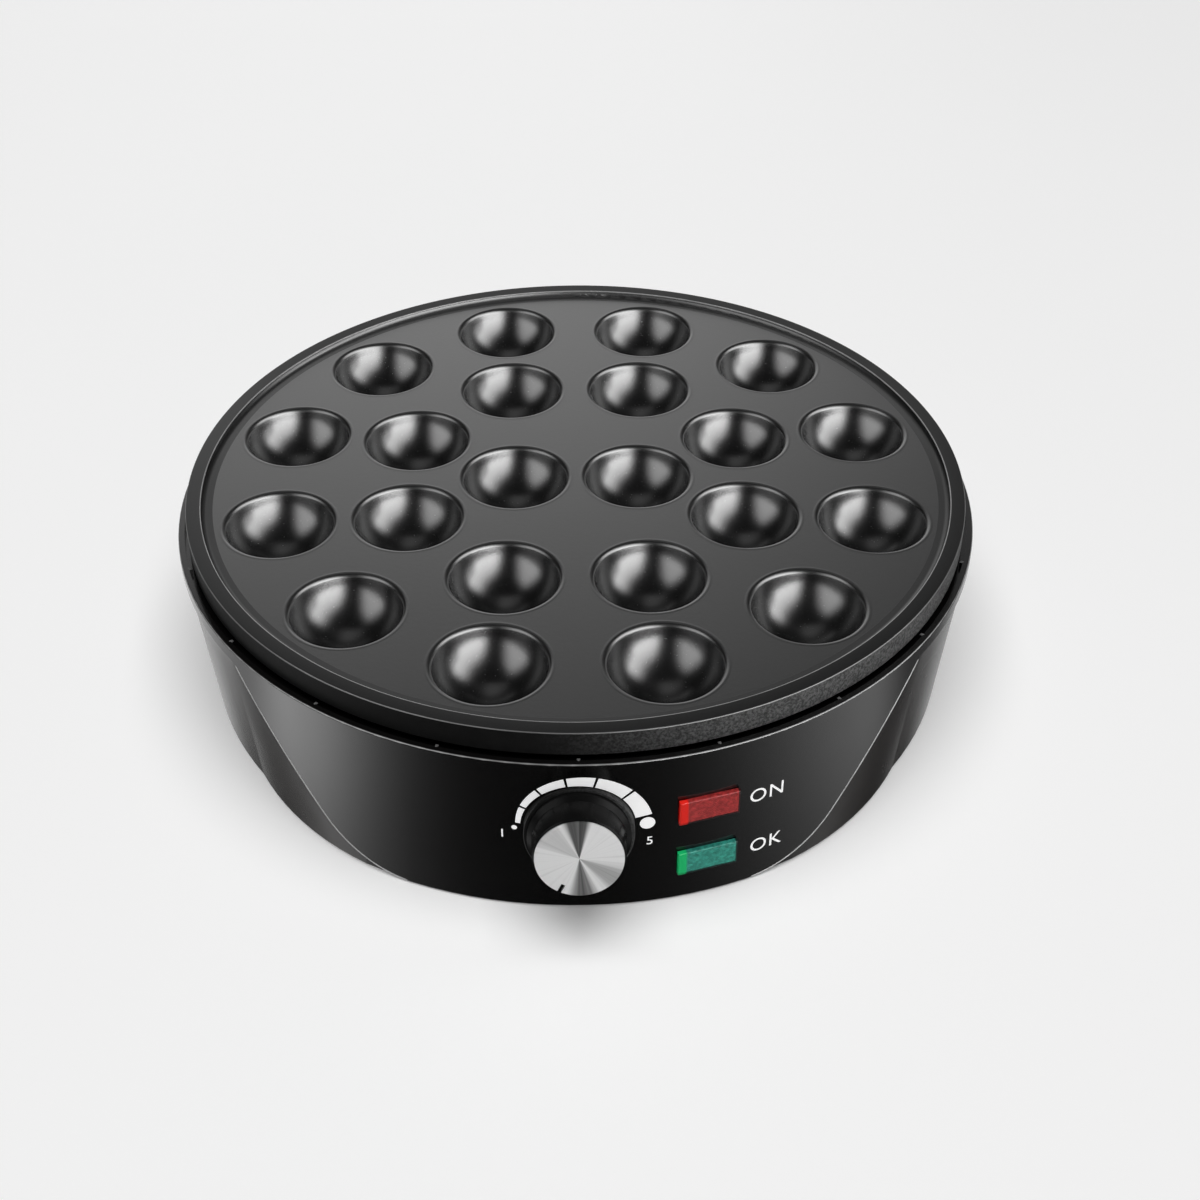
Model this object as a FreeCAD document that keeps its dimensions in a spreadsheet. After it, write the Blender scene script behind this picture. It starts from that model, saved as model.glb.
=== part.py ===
import FreeCAD, Part
import math
import os
import Sketcher
from FreeCAD import Placement, Rotation, Vector

# Electric takoyaki maker: a cast, non-stick plate with 22 round cups, screwed down on
# the shelf of a round moulded body. A knob on the front panel turns a thermostat, and two
# signal lamps sit beside it. Millimetres; +Z up, the front with the knob faces -Y, and the
# counter is at z = 0. Everything is drawn about the plate's axis. The knob reaches further
# out than the rear bushing, so every sub-part is then moved by axis_offset along +Y, which
# puts the origin under the middle of the whole object.

SIZES = (
    ("overall_height", 76.2, "counter to plate rim"),
    ("foot_height", 0.8, "gap between counter and body edge"),
    ("axis_offset", 8.2, "origin to plate axis, along +Y"),
    # cooking plate
    ("plate_radius", 148.6, "outside of the skirt"),
    ("flat_radius", 141.0, "flat cooking surface"),
    ("rim_height", 2.4, "rim above the cooking surface"),
    ("rim_round", 1.0, "outer edge of the rim"),
    ("skirt_height", 9.2, "rim down to the skirt's edge"),
    ("skirt_wall", 2.8, "skirt"),
    ("plate_wall", 3.0, "plate between the cups"),
    ("cup_radius", 20.7, "inside of a cup"),
    ("cup_rise", 4.0, "centre of that radius over the plate"),
    ("cup_wall", 2.8, "cup"),
    ("lip_round", 1.8, "rounded edge of a cup"),
    ("inner_cup_offset", 23.6, "two cups either side of the centre"),
    ("middle_ring_radius", 68.4, "ring of middle cups"),
    ("middle_cups", 8, "cups in the middle ring"),
    ("outer_ring_radius", 114.8, "ring of outer cups"),
    ("outer_cups", 12, "cups in the outer ring"),
    ("bead_width", 9.6, "cast rib that holds the element"),
    ("boss_ring_radius", 138.0, "plate screws"),
    ("boss_radius", 5.0, "screw boss under the plate"),
    ("boss_height", 10.6, "screw boss below the plate"),
    ("plate_screw_count", 6, "screws through the shelf"),
    ("screw_radius", 2.0, "plate screw shank"),
    ("screw_head_radius", 3.8, "plate screw head"),
    # heating element
    ("element_radius", 3.3, "tubular element"),
    ("element_ring_radius", 91.6, "ring of the element"),
    ("element_height", 56.9, "centre of the element's tube"),
    ("element_gap_angle", 28.0, "open part of the ring at the rear"),
    ("element_bend_radius", 8.0, "bend into a leg"),
    ("element_leg", 4.5, "straight end of the tube"),
    ("pin_radius", 1.3, "cold pin of the element"),
    # reflector pan
    ("pan_floor", 46.4, "underside of the pan"),
    ("pan_wall", 0.8, "sheet of the pan"),
    ("pan_floor_radius", 129.6, "flat floor of the pan"),
    ("pan_rim_radius", 131.4, "wall of the pan at the shelf"),
    ("pan_flange_radius", 144.0, "flange under the shelf"),
    ("leg_hole_radius", 5.2, "hole round an element leg"),
    # body
    ("body_radius", 152.5, "collar and panels"),
    ("collar_top", 66.0, "top edge of the body"),
    ("collar_bottom", 61.0, "lower edge of the collar"),
    ("collar_inside", 150.2, "inside of the collar"),
    ("collar_round", 0.6, "top edge of the collar"),
    ("side_top_radius", 151.5, "side wall under the collar"),
    ("side_foot_radius", 145.2, "side wall at the foot"),
    ("panel_foot_radius", 151.6, "side wall behind a panel's foot"),
    ("panel_foot_angle", 29.5, "corner of a panel's foot"),
    ("side_foot_angle", 53.5, "start of the round side"),
    ("foot_blend_radius", 117.0, "wall between the panel and the round side"),
    ("body_wall", 2.4, "moulded wall"),
    ("panel_half_width", 120.0, "half of a panel at the collar"),
    ("panel_slope", 35.4, "slanted edge of a panel, from vertical"),
    ("panel_corner_round", 38.0, "lower corners of a panel"),
    ("shelf_top", 55.5, "shelf that carries the plate"),
    ("shelf_thickness", 2.5, "shelf"),
    ("shelf_inside", 132.0, "opening of the shelf"),
    ("ledge_top", 63.4, "raised ledge round the shelf"),
    ("ledge_inside", 143.5, "raised ledge round the shelf"),
    ("tick_count", 20, "centring ribs inside the collar"),
    ("tick_width", 1.2, "centring rib"),
    ("tick_inside", 149.0, "face of a centring rib"),
    ("cover_post_ring", 141.4, "screws of the base cover"),
    ("cover_post_radius", 5.0, "post for a cover screw"),
    ("cover_post_height", 19.0, "post above the cover"),
    ("cover_post_count", 4, "screws of the base cover"),
    # knob and thermostat, along the tilted axis
    ("knob_axis_height", 37.5, "axis at the panel's face"),
    ("knob_tilt", 9.0, "axis leans up towards the user"),
    ("seat_radius", 18.4, "round seat on the panel"),
    ("seat_height", 3.4, "seat face from the panel, on the axis"),
    ("seat_inner", 5.2, "inner face of the seat from the panel, on the axis"),
    ("thermostat_rear", -44.0, "rear of the thermostat, along the axis"),
    ("shaft_radius", 3.0, "thermostat shaft"),
    ("shaft_play", 0.05, "shaft in its bush"),
    ("bush_radius", 4.8, "threaded bush"),
    ("knob_radius", 17.3, "knob skirt"),
    ("knob_face_radius", 14.75, "aluminium disc"),
    ("knob_reach", 16.3, "disc from the panel, on the axis"),
    ("pointer_angle", 207.0, "notch in the disc, clockwise from the top, knob at rest"),
    # lamps
    ("lamp_angle", 16.5, "lamps round the body from the front"),
    ("red_lamp_height", 41.2, "power lamp"),
    ("green_lamp_height", 17.7, "ready lamp"),
    ("lamp_width", 21.4, "lens face"),
    ("lamp_height", 10.3, "lens face"),
    ("lamp_proud", 1.6, "lens in front of the panel"),
    # base
    ("cover_inset", 3.0, "edge of the cover inside the body's foot"),
    ("cover_bottom", 3.0, "underside of the cover"),
    ("cover_wall", 2.0, "base cover"),
    ("foot_ring_radius", 112.0, "rubber feet"),
    ("foot_radius", 9.0, "rubber foot"),
    ("inlet_height", 24.0, "cord bushing in the rear panel"),
    ("inlet_bore_radius", 3.6, "bore for the supply cord"),
    ("inlet_body_radius", 7.0, "bushing in the wall"),
    ("terminal_face", 112.0, "terminal block, face towards the middle"),
    ("terminal_width", 30.0, "terminal block"),
    ("terminal_depth", 14.0, "terminal block"),
    ("terminal_pitch", 9.5, "ways of the terminal block"),
)

doc = FreeCAD.newDocument("takoyaki_maker")
sub_parts = []


class Size:
    """A number together with the sheet expression that it comes from."""

    def __init__(self, number, text):
        self.number = float(number)
        self.text = text

    def __add__(self, other):
        other = as_size(other)
        return Size(self.number + other.number, f"({self.text} + {other.text})")

    def __sub__(self, other):
        other = as_size(other)
        return Size(self.number - other.number, f"({self.text} - {other.text})")

    def __mul__(self, other):
        other = as_size(other)
        return Size(self.number * other.number, f"({self.text} * {other.text})")

    def __truediv__(self, other):
        other = as_size(other)
        return Size(self.number / other.number, f"({self.text} / {other.text})")

    def __neg__(self):
        return Size(-self.number, f"(-1 * {self.text})")

    def __float__(self):
        return self.number

    def __int__(self):
        return round(self.number)


def as_size(value):
    return value if isinstance(value, Size) else Size(value, repr(float(value)))


def sine(angle):
    angle = as_size(angle)
    return Size(math.sin(math.radians(angle.number)), f"sin({angle.text})")


def cosine(angle):
    angle = as_size(angle)
    return Size(math.cos(math.radians(angle.number)), f"cos({angle.text})")


def tangent(angle):
    return sine(angle) / cosine(angle)


def root(value):
    value = as_size(value)
    return Size(math.sqrt(value.number), f"sqrt({value.text})")


def make_sheet():
    """The driving dimensions, one row each: name, number, what it is."""
    sheet = doc.addObject("Spreadsheet::Sheet", "Sizes")
    for row, (alias, number, meaning) in enumerate(SIZES, start=1):
        sheet.set(f"A{row}", alias)
        sheet.set(f"B{row}", str(number))
        sheet.set(f"C{row}", meaning)
        sheet.setAlias(f"B{row}", alias)
    doc.recompute()
    return {alias: Size(getattr(sheet, alias), f"Sizes.{alias}") for alias, _, _ in SIZES}


S = make_sheet()

top_z = S["overall_height"] - S["rim_height"]
plate_under = top_z - S["plate_wall"]
skirt_bottom = S["overall_height"] - S["skirt_height"]
body_bottom = S["foot_height"]
boss_bottom = plate_under - S["boss_height"]
shelf_under = S["shelf_top"] - S["shelf_thickness"]
cover_top = S["cover_bottom"] + S["cover_wall"]
pan_top = S["pan_floor"] + S["pan_wall"]
flange_under = shelf_under - S["pan_wall"]


# ---- helpers -------------------------------------------------------------------------


def bind(thing, name, size):
    """Sets a property and ties it to the sheet."""
    size = as_size(size)
    thing.setExpression(name, size.text)


def new_body(name):
    body = doc.addObject("PartDesign::Body", name)
    body.Label = name
    bind(body, "Placement.Base.y", S["axis_offset"])
    sub_parts.append(body)
    return body


def origin_feature(body, role):
    return next(item for item in body.Origin.OriginFeatures if item.Role == role)


def new_sketch(body, name, plane="XZ_Plane", x=0, y=0, z=0, turn=None):
    """A sketch on one of the body's own planes; x, y and z are offsets along the plane's own axes."""
    sketch = body.newObject("Sketcher::SketchObject", name)
    sketch.AttachmentSupport = (origin_feature(body, plane), [""])
    sketch.MapMode = "FlatFace"
    if turn is not None:
        sketch.AttachmentOffset = Placement(Vector(0, 0, 0), turn)
    for axis, amount in (("x", x), ("y", y), ("z", z)):
        if float(amount) != 0:
            bind(sketch, f"AttachmentOffset.Base.{axis}", amount)
    return sketch


def hold(sketch, kind, geometry, place, amount, axis):
    """Holds one coordinate of a point: on the sketch axis, or at a distance from the origin."""
    if float(amount) == 0:
        sketch.addConstraint(Sketcher.Constraint("PointOnObject", geometry, place, axis))
        return
    index = sketch.addConstraint(Sketcher.Constraint(kind, -1, 1, geometry, place, float(amount)))
    sketch.setExpression(f"Constraints[{index}]", as_size(amount).text)


def pin_down(sketch, geometry, place, x, y):
    hold(sketch, "DistanceX", geometry, place, x, -2)
    hold(sketch, "DistanceY", geometry, place, y, -1)


def arc_between(start, end, radius, turn):
    """Minor arc from start to end; turn is 1 for anticlockwise and -1 for clockwise."""
    middle = (start + end) * 0.5
    across = end - start
    rise = math.sqrt(max(radius * radius - across.Length**2 / 4, 0))
    normal = Vector(-across.y, across.x, 0).normalize()
    centre = middle + normal * rise * turn
    first, last = (start, end) if turn > 0 else (end, start)
    angles = [math.atan2(p.y - centre.y, p.x - centre.x) for p in (first, last)]
    return Part.ArcOfCircle(Part.Circle(centre, Vector(0, 0, 1), radius), *angles)


def outline(sketch, corners, arcs=None):
    """A closed outline. arcs gives (radius, turn) for the sides that start at those corners."""
    arcs = arcs or {}
    points = [Vector(float(x), float(y), 0) for x, y in corners]
    sides = []
    for number, start in enumerate(points):
        end = points[(number + 1) % len(points)]
        if number in arcs:
            radius, turn = arcs[number]
            index = sketch.addGeometry(arc_between(start, end, float(radius), turn), False)
            sides.append((index, 1, 2) if turn > 0 else (index, 2, 1))
        else:
            index = sketch.addGeometry(Part.LineSegment(start, end), False)
            sides.append((index, 1, 2))
    for number, (index, _, end_place) in enumerate(sides):
        following, start_place, _ = sides[(number + 1) % len(sides)]
        sketch.addConstraint(Sketcher.Constraint("Coincident", index, end_place, following, start_place))
    for (index, start_place, _), (x, y) in zip(sides, corners):
        pin_down(sketch, index, start_place, x, y)
    for number, (radius, _) in arcs.items():
        held = sketch.addConstraint(Sketcher.Constraint("Radius", sides[number][0], float(radius)))
        sketch.setExpression(f"Constraints[{held}]", as_size(radius).text)
    return sketch


def rectangle(sketch, left, bottom, right, top):
    return outline(sketch, [(left, bottom), (right, bottom), (right, top), (left, top)])


def circle(sketch, radius, x=0, y=0):
    curve = Part.Circle(Vector(float(x), float(y), 0), Vector(0, 0, 1), float(radius))
    index = sketch.addGeometry(curve, False)
    if float(x) == 0 and float(y) == 0:
        sketch.addConstraint(Sketcher.Constraint("Coincident", index, 3, -1, 1))
    else:
        pin_down(sketch, index, 3, x, y)
    held = sketch.addConstraint(Sketcher.Constraint("Radius", index, float(radius)))
    sketch.setExpression(f"Constraints[{held}]", as_size(radius).text)
    return sketch


def revolve(body, sketch, name, cut=False):
    kind = "PartDesign::Groove" if cut else "PartDesign::Revolution"
    feature = body.newObject(kind, name)
    feature.Profile = sketch
    feature.ReferenceAxis = (sketch, ["V_Axis"])
    feature.Angle = 360
    return feature


def pad(body, sketch, name, length, reverse=False):
    feature = body.newObject("PartDesign::Pad", name)
    feature.Profile = sketch
    bind(feature, "Length", length)
    feature.Reversed = reverse
    return feature


def pocket(body, sketch, name, length, reverse=False):
    """Cuts against the sketch's normal, or along it when reverse is set, and checks that it cut."""
    doc.recompute()
    before = body.Shape.Volume
    feature = body.newObject("PartDesign::Pocket", name)
    feature.Profile = sketch
    bind(feature, "Length", length)
    feature.Reversed = reverse
    doc.recompute()
    if body.Shape.Volume > before - 0.01:
        raise RuntimeError(f"{name} cuts nothing from {body.Label}")
    return feature


def ring_of(body, features, name, count):
    """Repeats features about the vertical axis."""
    pattern = body.newObject("PartDesign::PolarPattern", name)
    pattern.Originals = features
    pattern.Axis = (origin_feature(body, "Z_Axis"), [""])
    pattern.Angle = 360
    bind(pattern, "Occurrences", count)
    body.Tip = pattern
    return pattern


def on_ring(radius, angle):
    """Point on a ring; the angle runs from +X towards +Y."""
    return radius * cosine(angle), radius * sine(angle)


def primitive(kind, name, place=None, **sizes):
    thing = doc.addObject(f"Part::{kind}", name)
    for prop, size in sizes.items():
        bind(thing, prop, size)
    if place is not None:
        thing.Placement = place
    return thing


def joined(name, pieces):
    thing = doc.addObject("Part::MultiFuse", name)
    thing.Shapes = pieces
    return thing


def cut_from(name, base, tool):
    thing = doc.addObject("Part::Cut", name)
    thing.Base = base
    thing.Tool = tool
    return thing


def finish_part(thing, name):
    """Names a Part object as a sub-part and moves it with the plate's axis."""
    thing.Label = name
    bind(thing, "Placement.Base.y", S["axis_offset"])
    sub_parts.append(thing)
    return thing


def tilted(distance):
    """Frame on the knob's axis, at a distance outwards from the panel's face; +Z points out."""
    angle = math.radians(float(S["knob_tilt"]))
    out = Vector(0, -math.cos(angle), math.sin(angle))
    start = Vector(0, -float(S["body_radius"]), float(S["knob_axis_height"]))
    across = Vector(1, 0, 0)
    return Placement(start + out * float(distance), Rotation(across, out.cross(across), out, "XYZ"))


# ---- cooking plate -------------------------------------------------------------------


def cup_places():
    """First cup of each group: radius, angle and how many there are."""
    return (
        ("inner", S["inner_cup_offset"], as_size(0), as_size(2)),
        ("middle", S["middle_ring_radius"], as_size(180) / S["middle_cups"], S["middle_cups"]),
        ("outer", S["outer_ring_radius"], as_size(180) / S["outer_cups"], S["outer_cups"]),
    )


def plate_section(body):
    """Flat plate, raised rim and hanging skirt, as one revolved section."""
    step = S["rim_height"]
    inside = S["plate_radius"] - S["skirt_wall"]
    corners = [
        (0, plate_under),
        (S["flat_radius"] + 1, plate_under),
        (S["flat_radius"] + 1, plate_under + step),
        (inside, plate_under + step),
        (inside, skirt_bottom),
        (S["plate_radius"], skirt_bottom),
        (S["plate_radius"], S["overall_height"] - S["rim_round"]),
        (S["plate_radius"] - S["rim_round"], S["overall_height"]),
        (S["flat_radius"] + step, S["overall_height"]),
        (S["flat_radius"], top_z),
        (0, top_z),
    ]
    sketch = new_sketch(body, "plate_outline")
    outline(sketch, corners, {6: (S["rim_round"], 1), 8: (step, -1)})
    return revolve(body, sketch, "plate")


def cup_bowl(body, name, x, y):
    """Round bowl whose flat edge meets the underside of the plate."""
    inner = S["cup_radius"]
    outer = inner + S["cup_wall"]
    rise = S["cup_rise"]
    deep = S["plate_wall"]
    drop = rise + deep
    corners = [
        (0, rise - outer),
        (root(outer * outer - drop * drop), -deep),
        (root(inner * inner - drop * drop), -deep),
        (0, rise - inner),
    ]
    sketch = new_sketch(body, f"{name}_bowl_outline", x=x, y=top_z, z=-y)
    outline(sketch, corners, {0: (outer, 1), 2: (inner, -1)})
    return revolve(body, sketch, f"{name}_bowl")


def cup_hollow(body, name, x, y):
    """Mouth of one cup with its rounded lip, and below the plate the room for its bowl."""
    radius = S["cup_radius"]
    outer = radius + S["cup_wall"]
    lip = S["lip_round"]
    rise = S["cup_rise"]
    deep = S["plate_wall"]
    drop = rise + deep
    reach = root((radius + lip) * (radius + lip) - (rise + lip) * (rise + lip))
    share = radius / (radius + lip)
    sketch = new_sketch(body, f"{name}_hollow_outline", x=x, y=top_z, z=-y)
    corners = [
        (0, rise - outer),
        (root(outer * outer - drop * drop), -deep),
        (root(radius * radius - drop * drop), -deep),
        (reach * share, rise - (rise + lip) * share),
        (reach, 0),
        (reach, 1),
        (0, 1),
    ]
    outline(sketch, corners, {0: (outer, 1), 2: (radius, 1), 3: (lip, -1)})
    return revolve(body, sketch, f"{name}_hollow", cut=True)


def element_bead(body):
    """Cast rib under the plate with a round channel for the element."""
    half = S["bead_width"] / 2
    centre = S["element_ring_radius"]
    sketch = new_sketch(body, "bead_outline")
    rectangle(sketch, centre - half, S["element_height"] - 1, centre + half, plate_under + 0.5)
    return revolve(body, sketch, "bead")


def element_channel(body):
    channel = S["element_radius"] + 0.1
    centre = S["element_ring_radius"]
    height = S["element_height"]
    sketch = new_sketch(body, "channel_outline")
    corners = [
        (centre - channel, height),
        (centre - channel, height - 4),
        (centre + channel, height - 4),
        (centre + channel, height),
    ]
    outline(sketch, corners, {3: (channel + 0.0001, 1)})
    return revolve(body, sketch, "channel", cut=True)


def make_cooking_plate():
    body = new_body("cooking_plate")
    plate_section(body)
    element_bead(body)
    boss = new_sketch(body, "boss_outline", "XY_Plane", z=boss_bottom)
    circle(boss, S["boss_radius"], S["boss_ring_radius"])
    post = pad(body, boss, "boss", S["boss_height"] + 0.5)
    ring_of(body, [post], "bosses", S["plate_screw_count"])
    for name, radius, angle, count in cup_places():
        x, y = on_ring(radius, angle)
        hollow = cup_hollow(body, name, x, y)
        ring_of(body, [hollow], f"{name}_hollows", count)
    element_channel(body)
    hole = new_sketch(body, "boss_hole_outline", "XY_Plane", z=boss_bottom)
    circle(hole, S["screw_radius"] + 0.05, S["boss_ring_radius"])
    drill = pocket(body, hole, "boss_hole", S["boss_height"] - 1.4, reverse=True)
    ring_of(body, [drill], "boss_holes", S["plate_screw_count"])


def make_cup_bowls():
    """The cast bowls under the mouths: one sub-part for each ring of cups."""
    for name, radius, angle, count in cup_places():
        bowls = []
        for number in range(int(count)):
            body = doc.addObject("PartDesign::Body", f"{name}_cup_{number + 1}")
            x, y = on_ring(radius, angle + as_size(360) * as_size(number) / count)
            cup_bowl(body, f"{name}_{number + 1}", x, y)
            bowls.append(body)
        doc.recompute()
        finish_part(compound(f"{name}_cups", bowls), f"{name}_cups")


# ---- heating element -----------------------------------------------------------------


def element_ends():
    """Angle of each end of the ring and the direction in which the tube runs on."""
    half = float(S["element_gap_angle"]) / 2
    return (("left", 90 + half, -1), ("right", 90 - half, 1))


def end_frame(angle, way):
    """End point of the ring and the direction along the tube towards the gap."""
    turn = math.radians(angle)
    radius = float(S["element_ring_radius"])
    point = Vector(radius * math.cos(turn), radius * math.sin(turn), float(S["element_height"]))
    along = Vector(-math.sin(turn), math.cos(turn), 0) * way
    return point, along


def leg_axis(angle, way):
    """Where a leg's axis stands, and the height at which the bend ends."""
    point, along = end_frame(angle, way)
    bend = float(S["element_bend_radius"])
    return point + along * bend - Vector(0, 0, bend)


def make_heating_element():
    ring = primitive("Torus", "element_ring", Radius1=S["element_ring_radius"], Radius2=S["element_radius"])
    bind(ring, "Angle3", as_size(360) - S["element_gap_angle"])
    turn = 90 + float(S["element_gap_angle"]) / 2
    ring.Placement = Placement(Vector(0, 0, float(S["element_height"])), Rotation(Vector(0, 0, 1), turn))
    pieces = [ring]
    for side, angle, way in element_ends():
        point, along = end_frame(angle, way)
        up = Vector(0, 0, 1)
        centre = point - up * float(S["element_bend_radius"])
        bend_sizes = {"Radius1": S["element_bend_radius"], "Radius2": S["element_radius"]}
        bend = primitive("Torus", f"element_bend_{side}", **bend_sizes)
        bend.Angle3 = 90
        bend.Placement = Placement(centre, Rotation(up, along, up.cross(along), "XYZ"))
        foot = Placement(leg_axis(angle, way) - up * float(S["element_leg"]), Rotation())
        leg_sizes = {"Radius": S["element_radius"], "Height": S["element_leg"]}
        leg = primitive("Cylinder", f"element_leg_{side}", foot, **leg_sizes)
        pieces += [bend, leg]
    finish_part(joined("heating_element", pieces), "heating_element")


def make_element_terminals():
    """A ceramic end seal and a steel pin with a flat tab, at each end of the element."""
    for side, angle, way in element_ends():
        foot = leg_axis(angle, way) - Vector(0, 0, float(S["element_leg"]))
        seal_height = 3.0
        seal = primitive("Cylinder", f"seal_{side}", Radius=S["element_radius"] + 0.6, Height=seal_height)
        seal.Placement = Placement(foot - Vector(0, 0, seal_height), Rotation())
        bore = primitive("Cylinder", f"seal_bore_{side}", Radius=S["pin_radius"] + 0.05, Height=seal_height)
        bore.Placement = seal.Placement
        finish_part(cut_from(f"element_seal_{side}", seal, bore), f"element_seal_{side}")
        pin_length = 7.0
        pin = primitive("Cylinder", f"pin_{side}", Radius=S["pin_radius"], Height=pin_length)
        pin.Placement = Placement(foot - Vector(0, 0, pin_length), Rotation())
        tab_width, tab_thickness, tab_height = 6.3, 0.8, 8.0
        tab = doc.addObject("Part::Box", f"tab_{side}")
        tab.Length, tab.Width, tab.Height = tab_width, tab_thickness, tab_height
        corner = Vector(-tab_width / 2, -tab_thickness / 2, -pin_length - tab_height + 1.0)
        tab.Placement = Placement(foot + corner, Rotation())
        finish_part(joined(f"element_terminal_{side}", [pin, tab]), f"element_terminal_{side}")


# ---- reflector pan and what holds the plate ------------------------------------------


def make_heat_reflector():
    """Pressed pan under the cups; its flange is clamped to the underside of the shelf."""
    body = new_body("heat_reflector")
    sheet = S["pan_wall"]
    corners = [
        (0, S["pan_floor"]),
        (S["pan_floor_radius"], S["pan_floor"]),
        (S["pan_rim_radius"] + sheet, flange_under),
        (S["pan_flange_radius"], flange_under),
        (S["pan_flange_radius"], shelf_under),
        (S["pan_rim_radius"], shelf_under),
        (S["pan_floor_radius"] - sheet, pan_top),
        (0, pan_top),
    ]
    revolve(body, outline(new_sketch(body, "pan_outline"), corners), "pan")
    hole = new_sketch(body, "screw_hole_outline", "XY_Plane", z=flange_under - 1)
    circle(hole, S["screw_radius"] + 0.4, S["boss_ring_radius"])
    drill = pocket(body, hole, "screw_hole", S["pan_wall"] + 2, reverse=True)
    ring_of(body, [drill], "screw_holes", S["plate_screw_count"])
    legs = new_sketch(body, "leg_hole_outline", "XY_Plane", z=S["pan_floor"] - 1)
    for _, angle, way in element_ends():
        foot = leg_axis(angle, way)
        circle(legs, S["leg_hole_radius"], foot.x, foot.y)
    pocket(body, legs, "leg_holes", S["pan_wall"] + 2, reverse=True)


def plate_screw_angles():
    count = int(S["plate_screw_count"])
    return [360.0 * number / count for number in range(count)]


def ring_point(radius, angle, height):
    turn = math.radians(angle)
    return Vector(float(radius) * math.cos(turn), float(radius) * math.sin(turn), float(height))


def make_plate_spacers():
    """Ceramic rings that keep the hot bosses off the moulded shelf."""
    height = boss_bottom - S["shelf_top"]
    for number, angle in enumerate(plate_screw_angles(), start=1):
        place = Placement(ring_point(S["boss_ring_radius"], angle, S["shelf_top"]), Rotation())
        inside = S["screw_radius"] + 0.3
        ring = primitive("Cylinder", f"spacer_ring_{number}", place, Radius=S["boss_radius"], Height=height)
        bore = primitive("Cylinder", f"spacer_bore_{number}", place, Radius=inside, Height=height)
        finish_part(cut_from(f"plate_spacer_{number}", ring, bore), f"plate_spacer_{number}")


def screw_set(name, places, shank, head, length, head_height, down):
    """Pan-head screws at given places; down points from the tip to the head."""
    pieces = []
    for number, place in enumerate(places, start=1):
        turned = Rotation(Vector(0, 0, 1), -down)
        top = Placement(place + down * head_height, turned)
        under_head = Placement(place, turned)
        cap = primitive("Cylinder", f"{name}_head_{number}", top, Radius=head, Height=head_height)
        stem = primitive("Cylinder", f"{name}_shank_{number}", under_head, Radius=shank, Height=length)
        screw = joined(f"{name}_{number}", [cap, stem])
        edge = doc.addObject("Part::Fillet", f"{name}_rounded_{number}")
        edge.Base = screw
        doc.recompute()
        edge.Edges = [(outer_edge(screw.Shape, place + down * head_height), 0.6, 0.6)]
        pieces.append(edge)
    return finish_part(compound(name, pieces), name)


def compound(name, pieces):
    thing = doc.addObject("Part::Compound", name)
    thing.Links = pieces
    return thing


def outer_edge(shape, centre):
    """Index of the widest round edge whose middle lies at the given point."""
    rims = []
    for number, edge in enumerate(shape.Edges, start=1):
        if isinstance(edge.Curve, Part.Circle) and edge.Curve.Center.distanceToPoint(centre) < 0.01:
            rims.append((edge.Curve.Radius, number))
    return max(rims)[1]


def make_plate_screws():
    places = [ring_point(S["boss_ring_radius"], angle, flange_under) for angle in plate_screw_angles()]
    length = float(boss_bottom - flange_under) + 8.0
    head = float(S["screw_head_radius"])
    screw_set("plate_screws", places, S["screw_radius"], head, length, 2.6, Vector(0, 0, -1))


# ---- body shell ----------------------------------------------------------------------


def panel_blank(body):
    """A plain drum that the two panels are left standing from."""
    sketch = new_sketch(body, "drum_outline", "XY_Plane", z=body_bottom)
    circle(sketch, S["body_radius"])
    return pad(body, sketch, "drum", S["collar_bottom"] - body_bottom)


def panel_corner_points():
    """Front view of a panel's right edge: slanted line, then a large round corner at the foot."""
    height = S["collar_bottom"] - body_bottom
    slope = S["panel_slope"]
    corner = S["panel_half_width"] - height * tangent(slope)
    reach = S["panel_corner_round"] * tangent((as_size(90) - slope) / 2)
    upper = (corner + reach * sine(slope), body_bottom + reach * cosine(slope))
    return upper, (corner - reach, body_bottom)


def trim_panels(body):
    """Cuts the drum away outside the panels, front and rear alike."""
    upper, lower = panel_corner_points()
    outside = S["body_radius"] + 3
    sketch = new_sketch(body, "panel_edges", z=-outside)
    for side in (1, -1):
        corners = [
            (S["panel_half_width"] * side, S["collar_bottom"]),
            (upper[0] * side, upper[1]),
            (lower[0] * side, lower[1]),
            (lower[0] * side, as_size(-1)),
            (outside * side, as_size(-1)),
            (outside * side, S["collar_bottom"]),
        ]
        outline(sketch, corners, {1: (S["panel_corner_round"], -side)})
    return pocket(body, sketch, "panel_trim", outside * 2, reverse=True)


def wall_section(body, name, height, radii, inset):
    """Plan outline of the wall: round ends and sides with a blend between, closed by eight arcs."""
    end, side, blend = (radius - inset for radius in radii)
    corner, start_of_side = S["panel_foot_angle"], S["side_foot_angle"]
    sketch = new_sketch(body, name, "XY_Plane", z=height)
    corners = []
    for turn in (0, 180):
        for base, swing, radius in (
            (turn - 90, corner, end),
            (turn - 90, start_of_side, side),
            (turn + 90, -start_of_side, side),
            (turn + 90, -corner, end),
        ):
            angle = swing + as_size(base)
            corners.append((radius * cosine(angle), radius * sine(angle)))
    arcs = {number: (radius, 1) for number, radius in enumerate((blend, side, blend, end) * 2)}
    return outline(sketch, corners, arcs)


def foot_radii():
    return S["panel_foot_radius"], S["side_foot_radius"], S["foot_blend_radius"]


def wall_loft(body, name, inset, bottom, top, cut):
    kind = "PartDesign::SubtractiveLoft" if cut else "PartDesign::AdditiveLoft"
    lower = wall_section(body, f"{name}_foot", bottom, foot_radii(), inset)
    upper = wall_section(body, f"{name}_top", top, (S["side_top_radius"],) * 3, inset)
    feature = body.newObject(kind, name)
    feature.Profile = lower
    feature.Sections = [upper]
    feature.Ruled = True
    return feature


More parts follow.
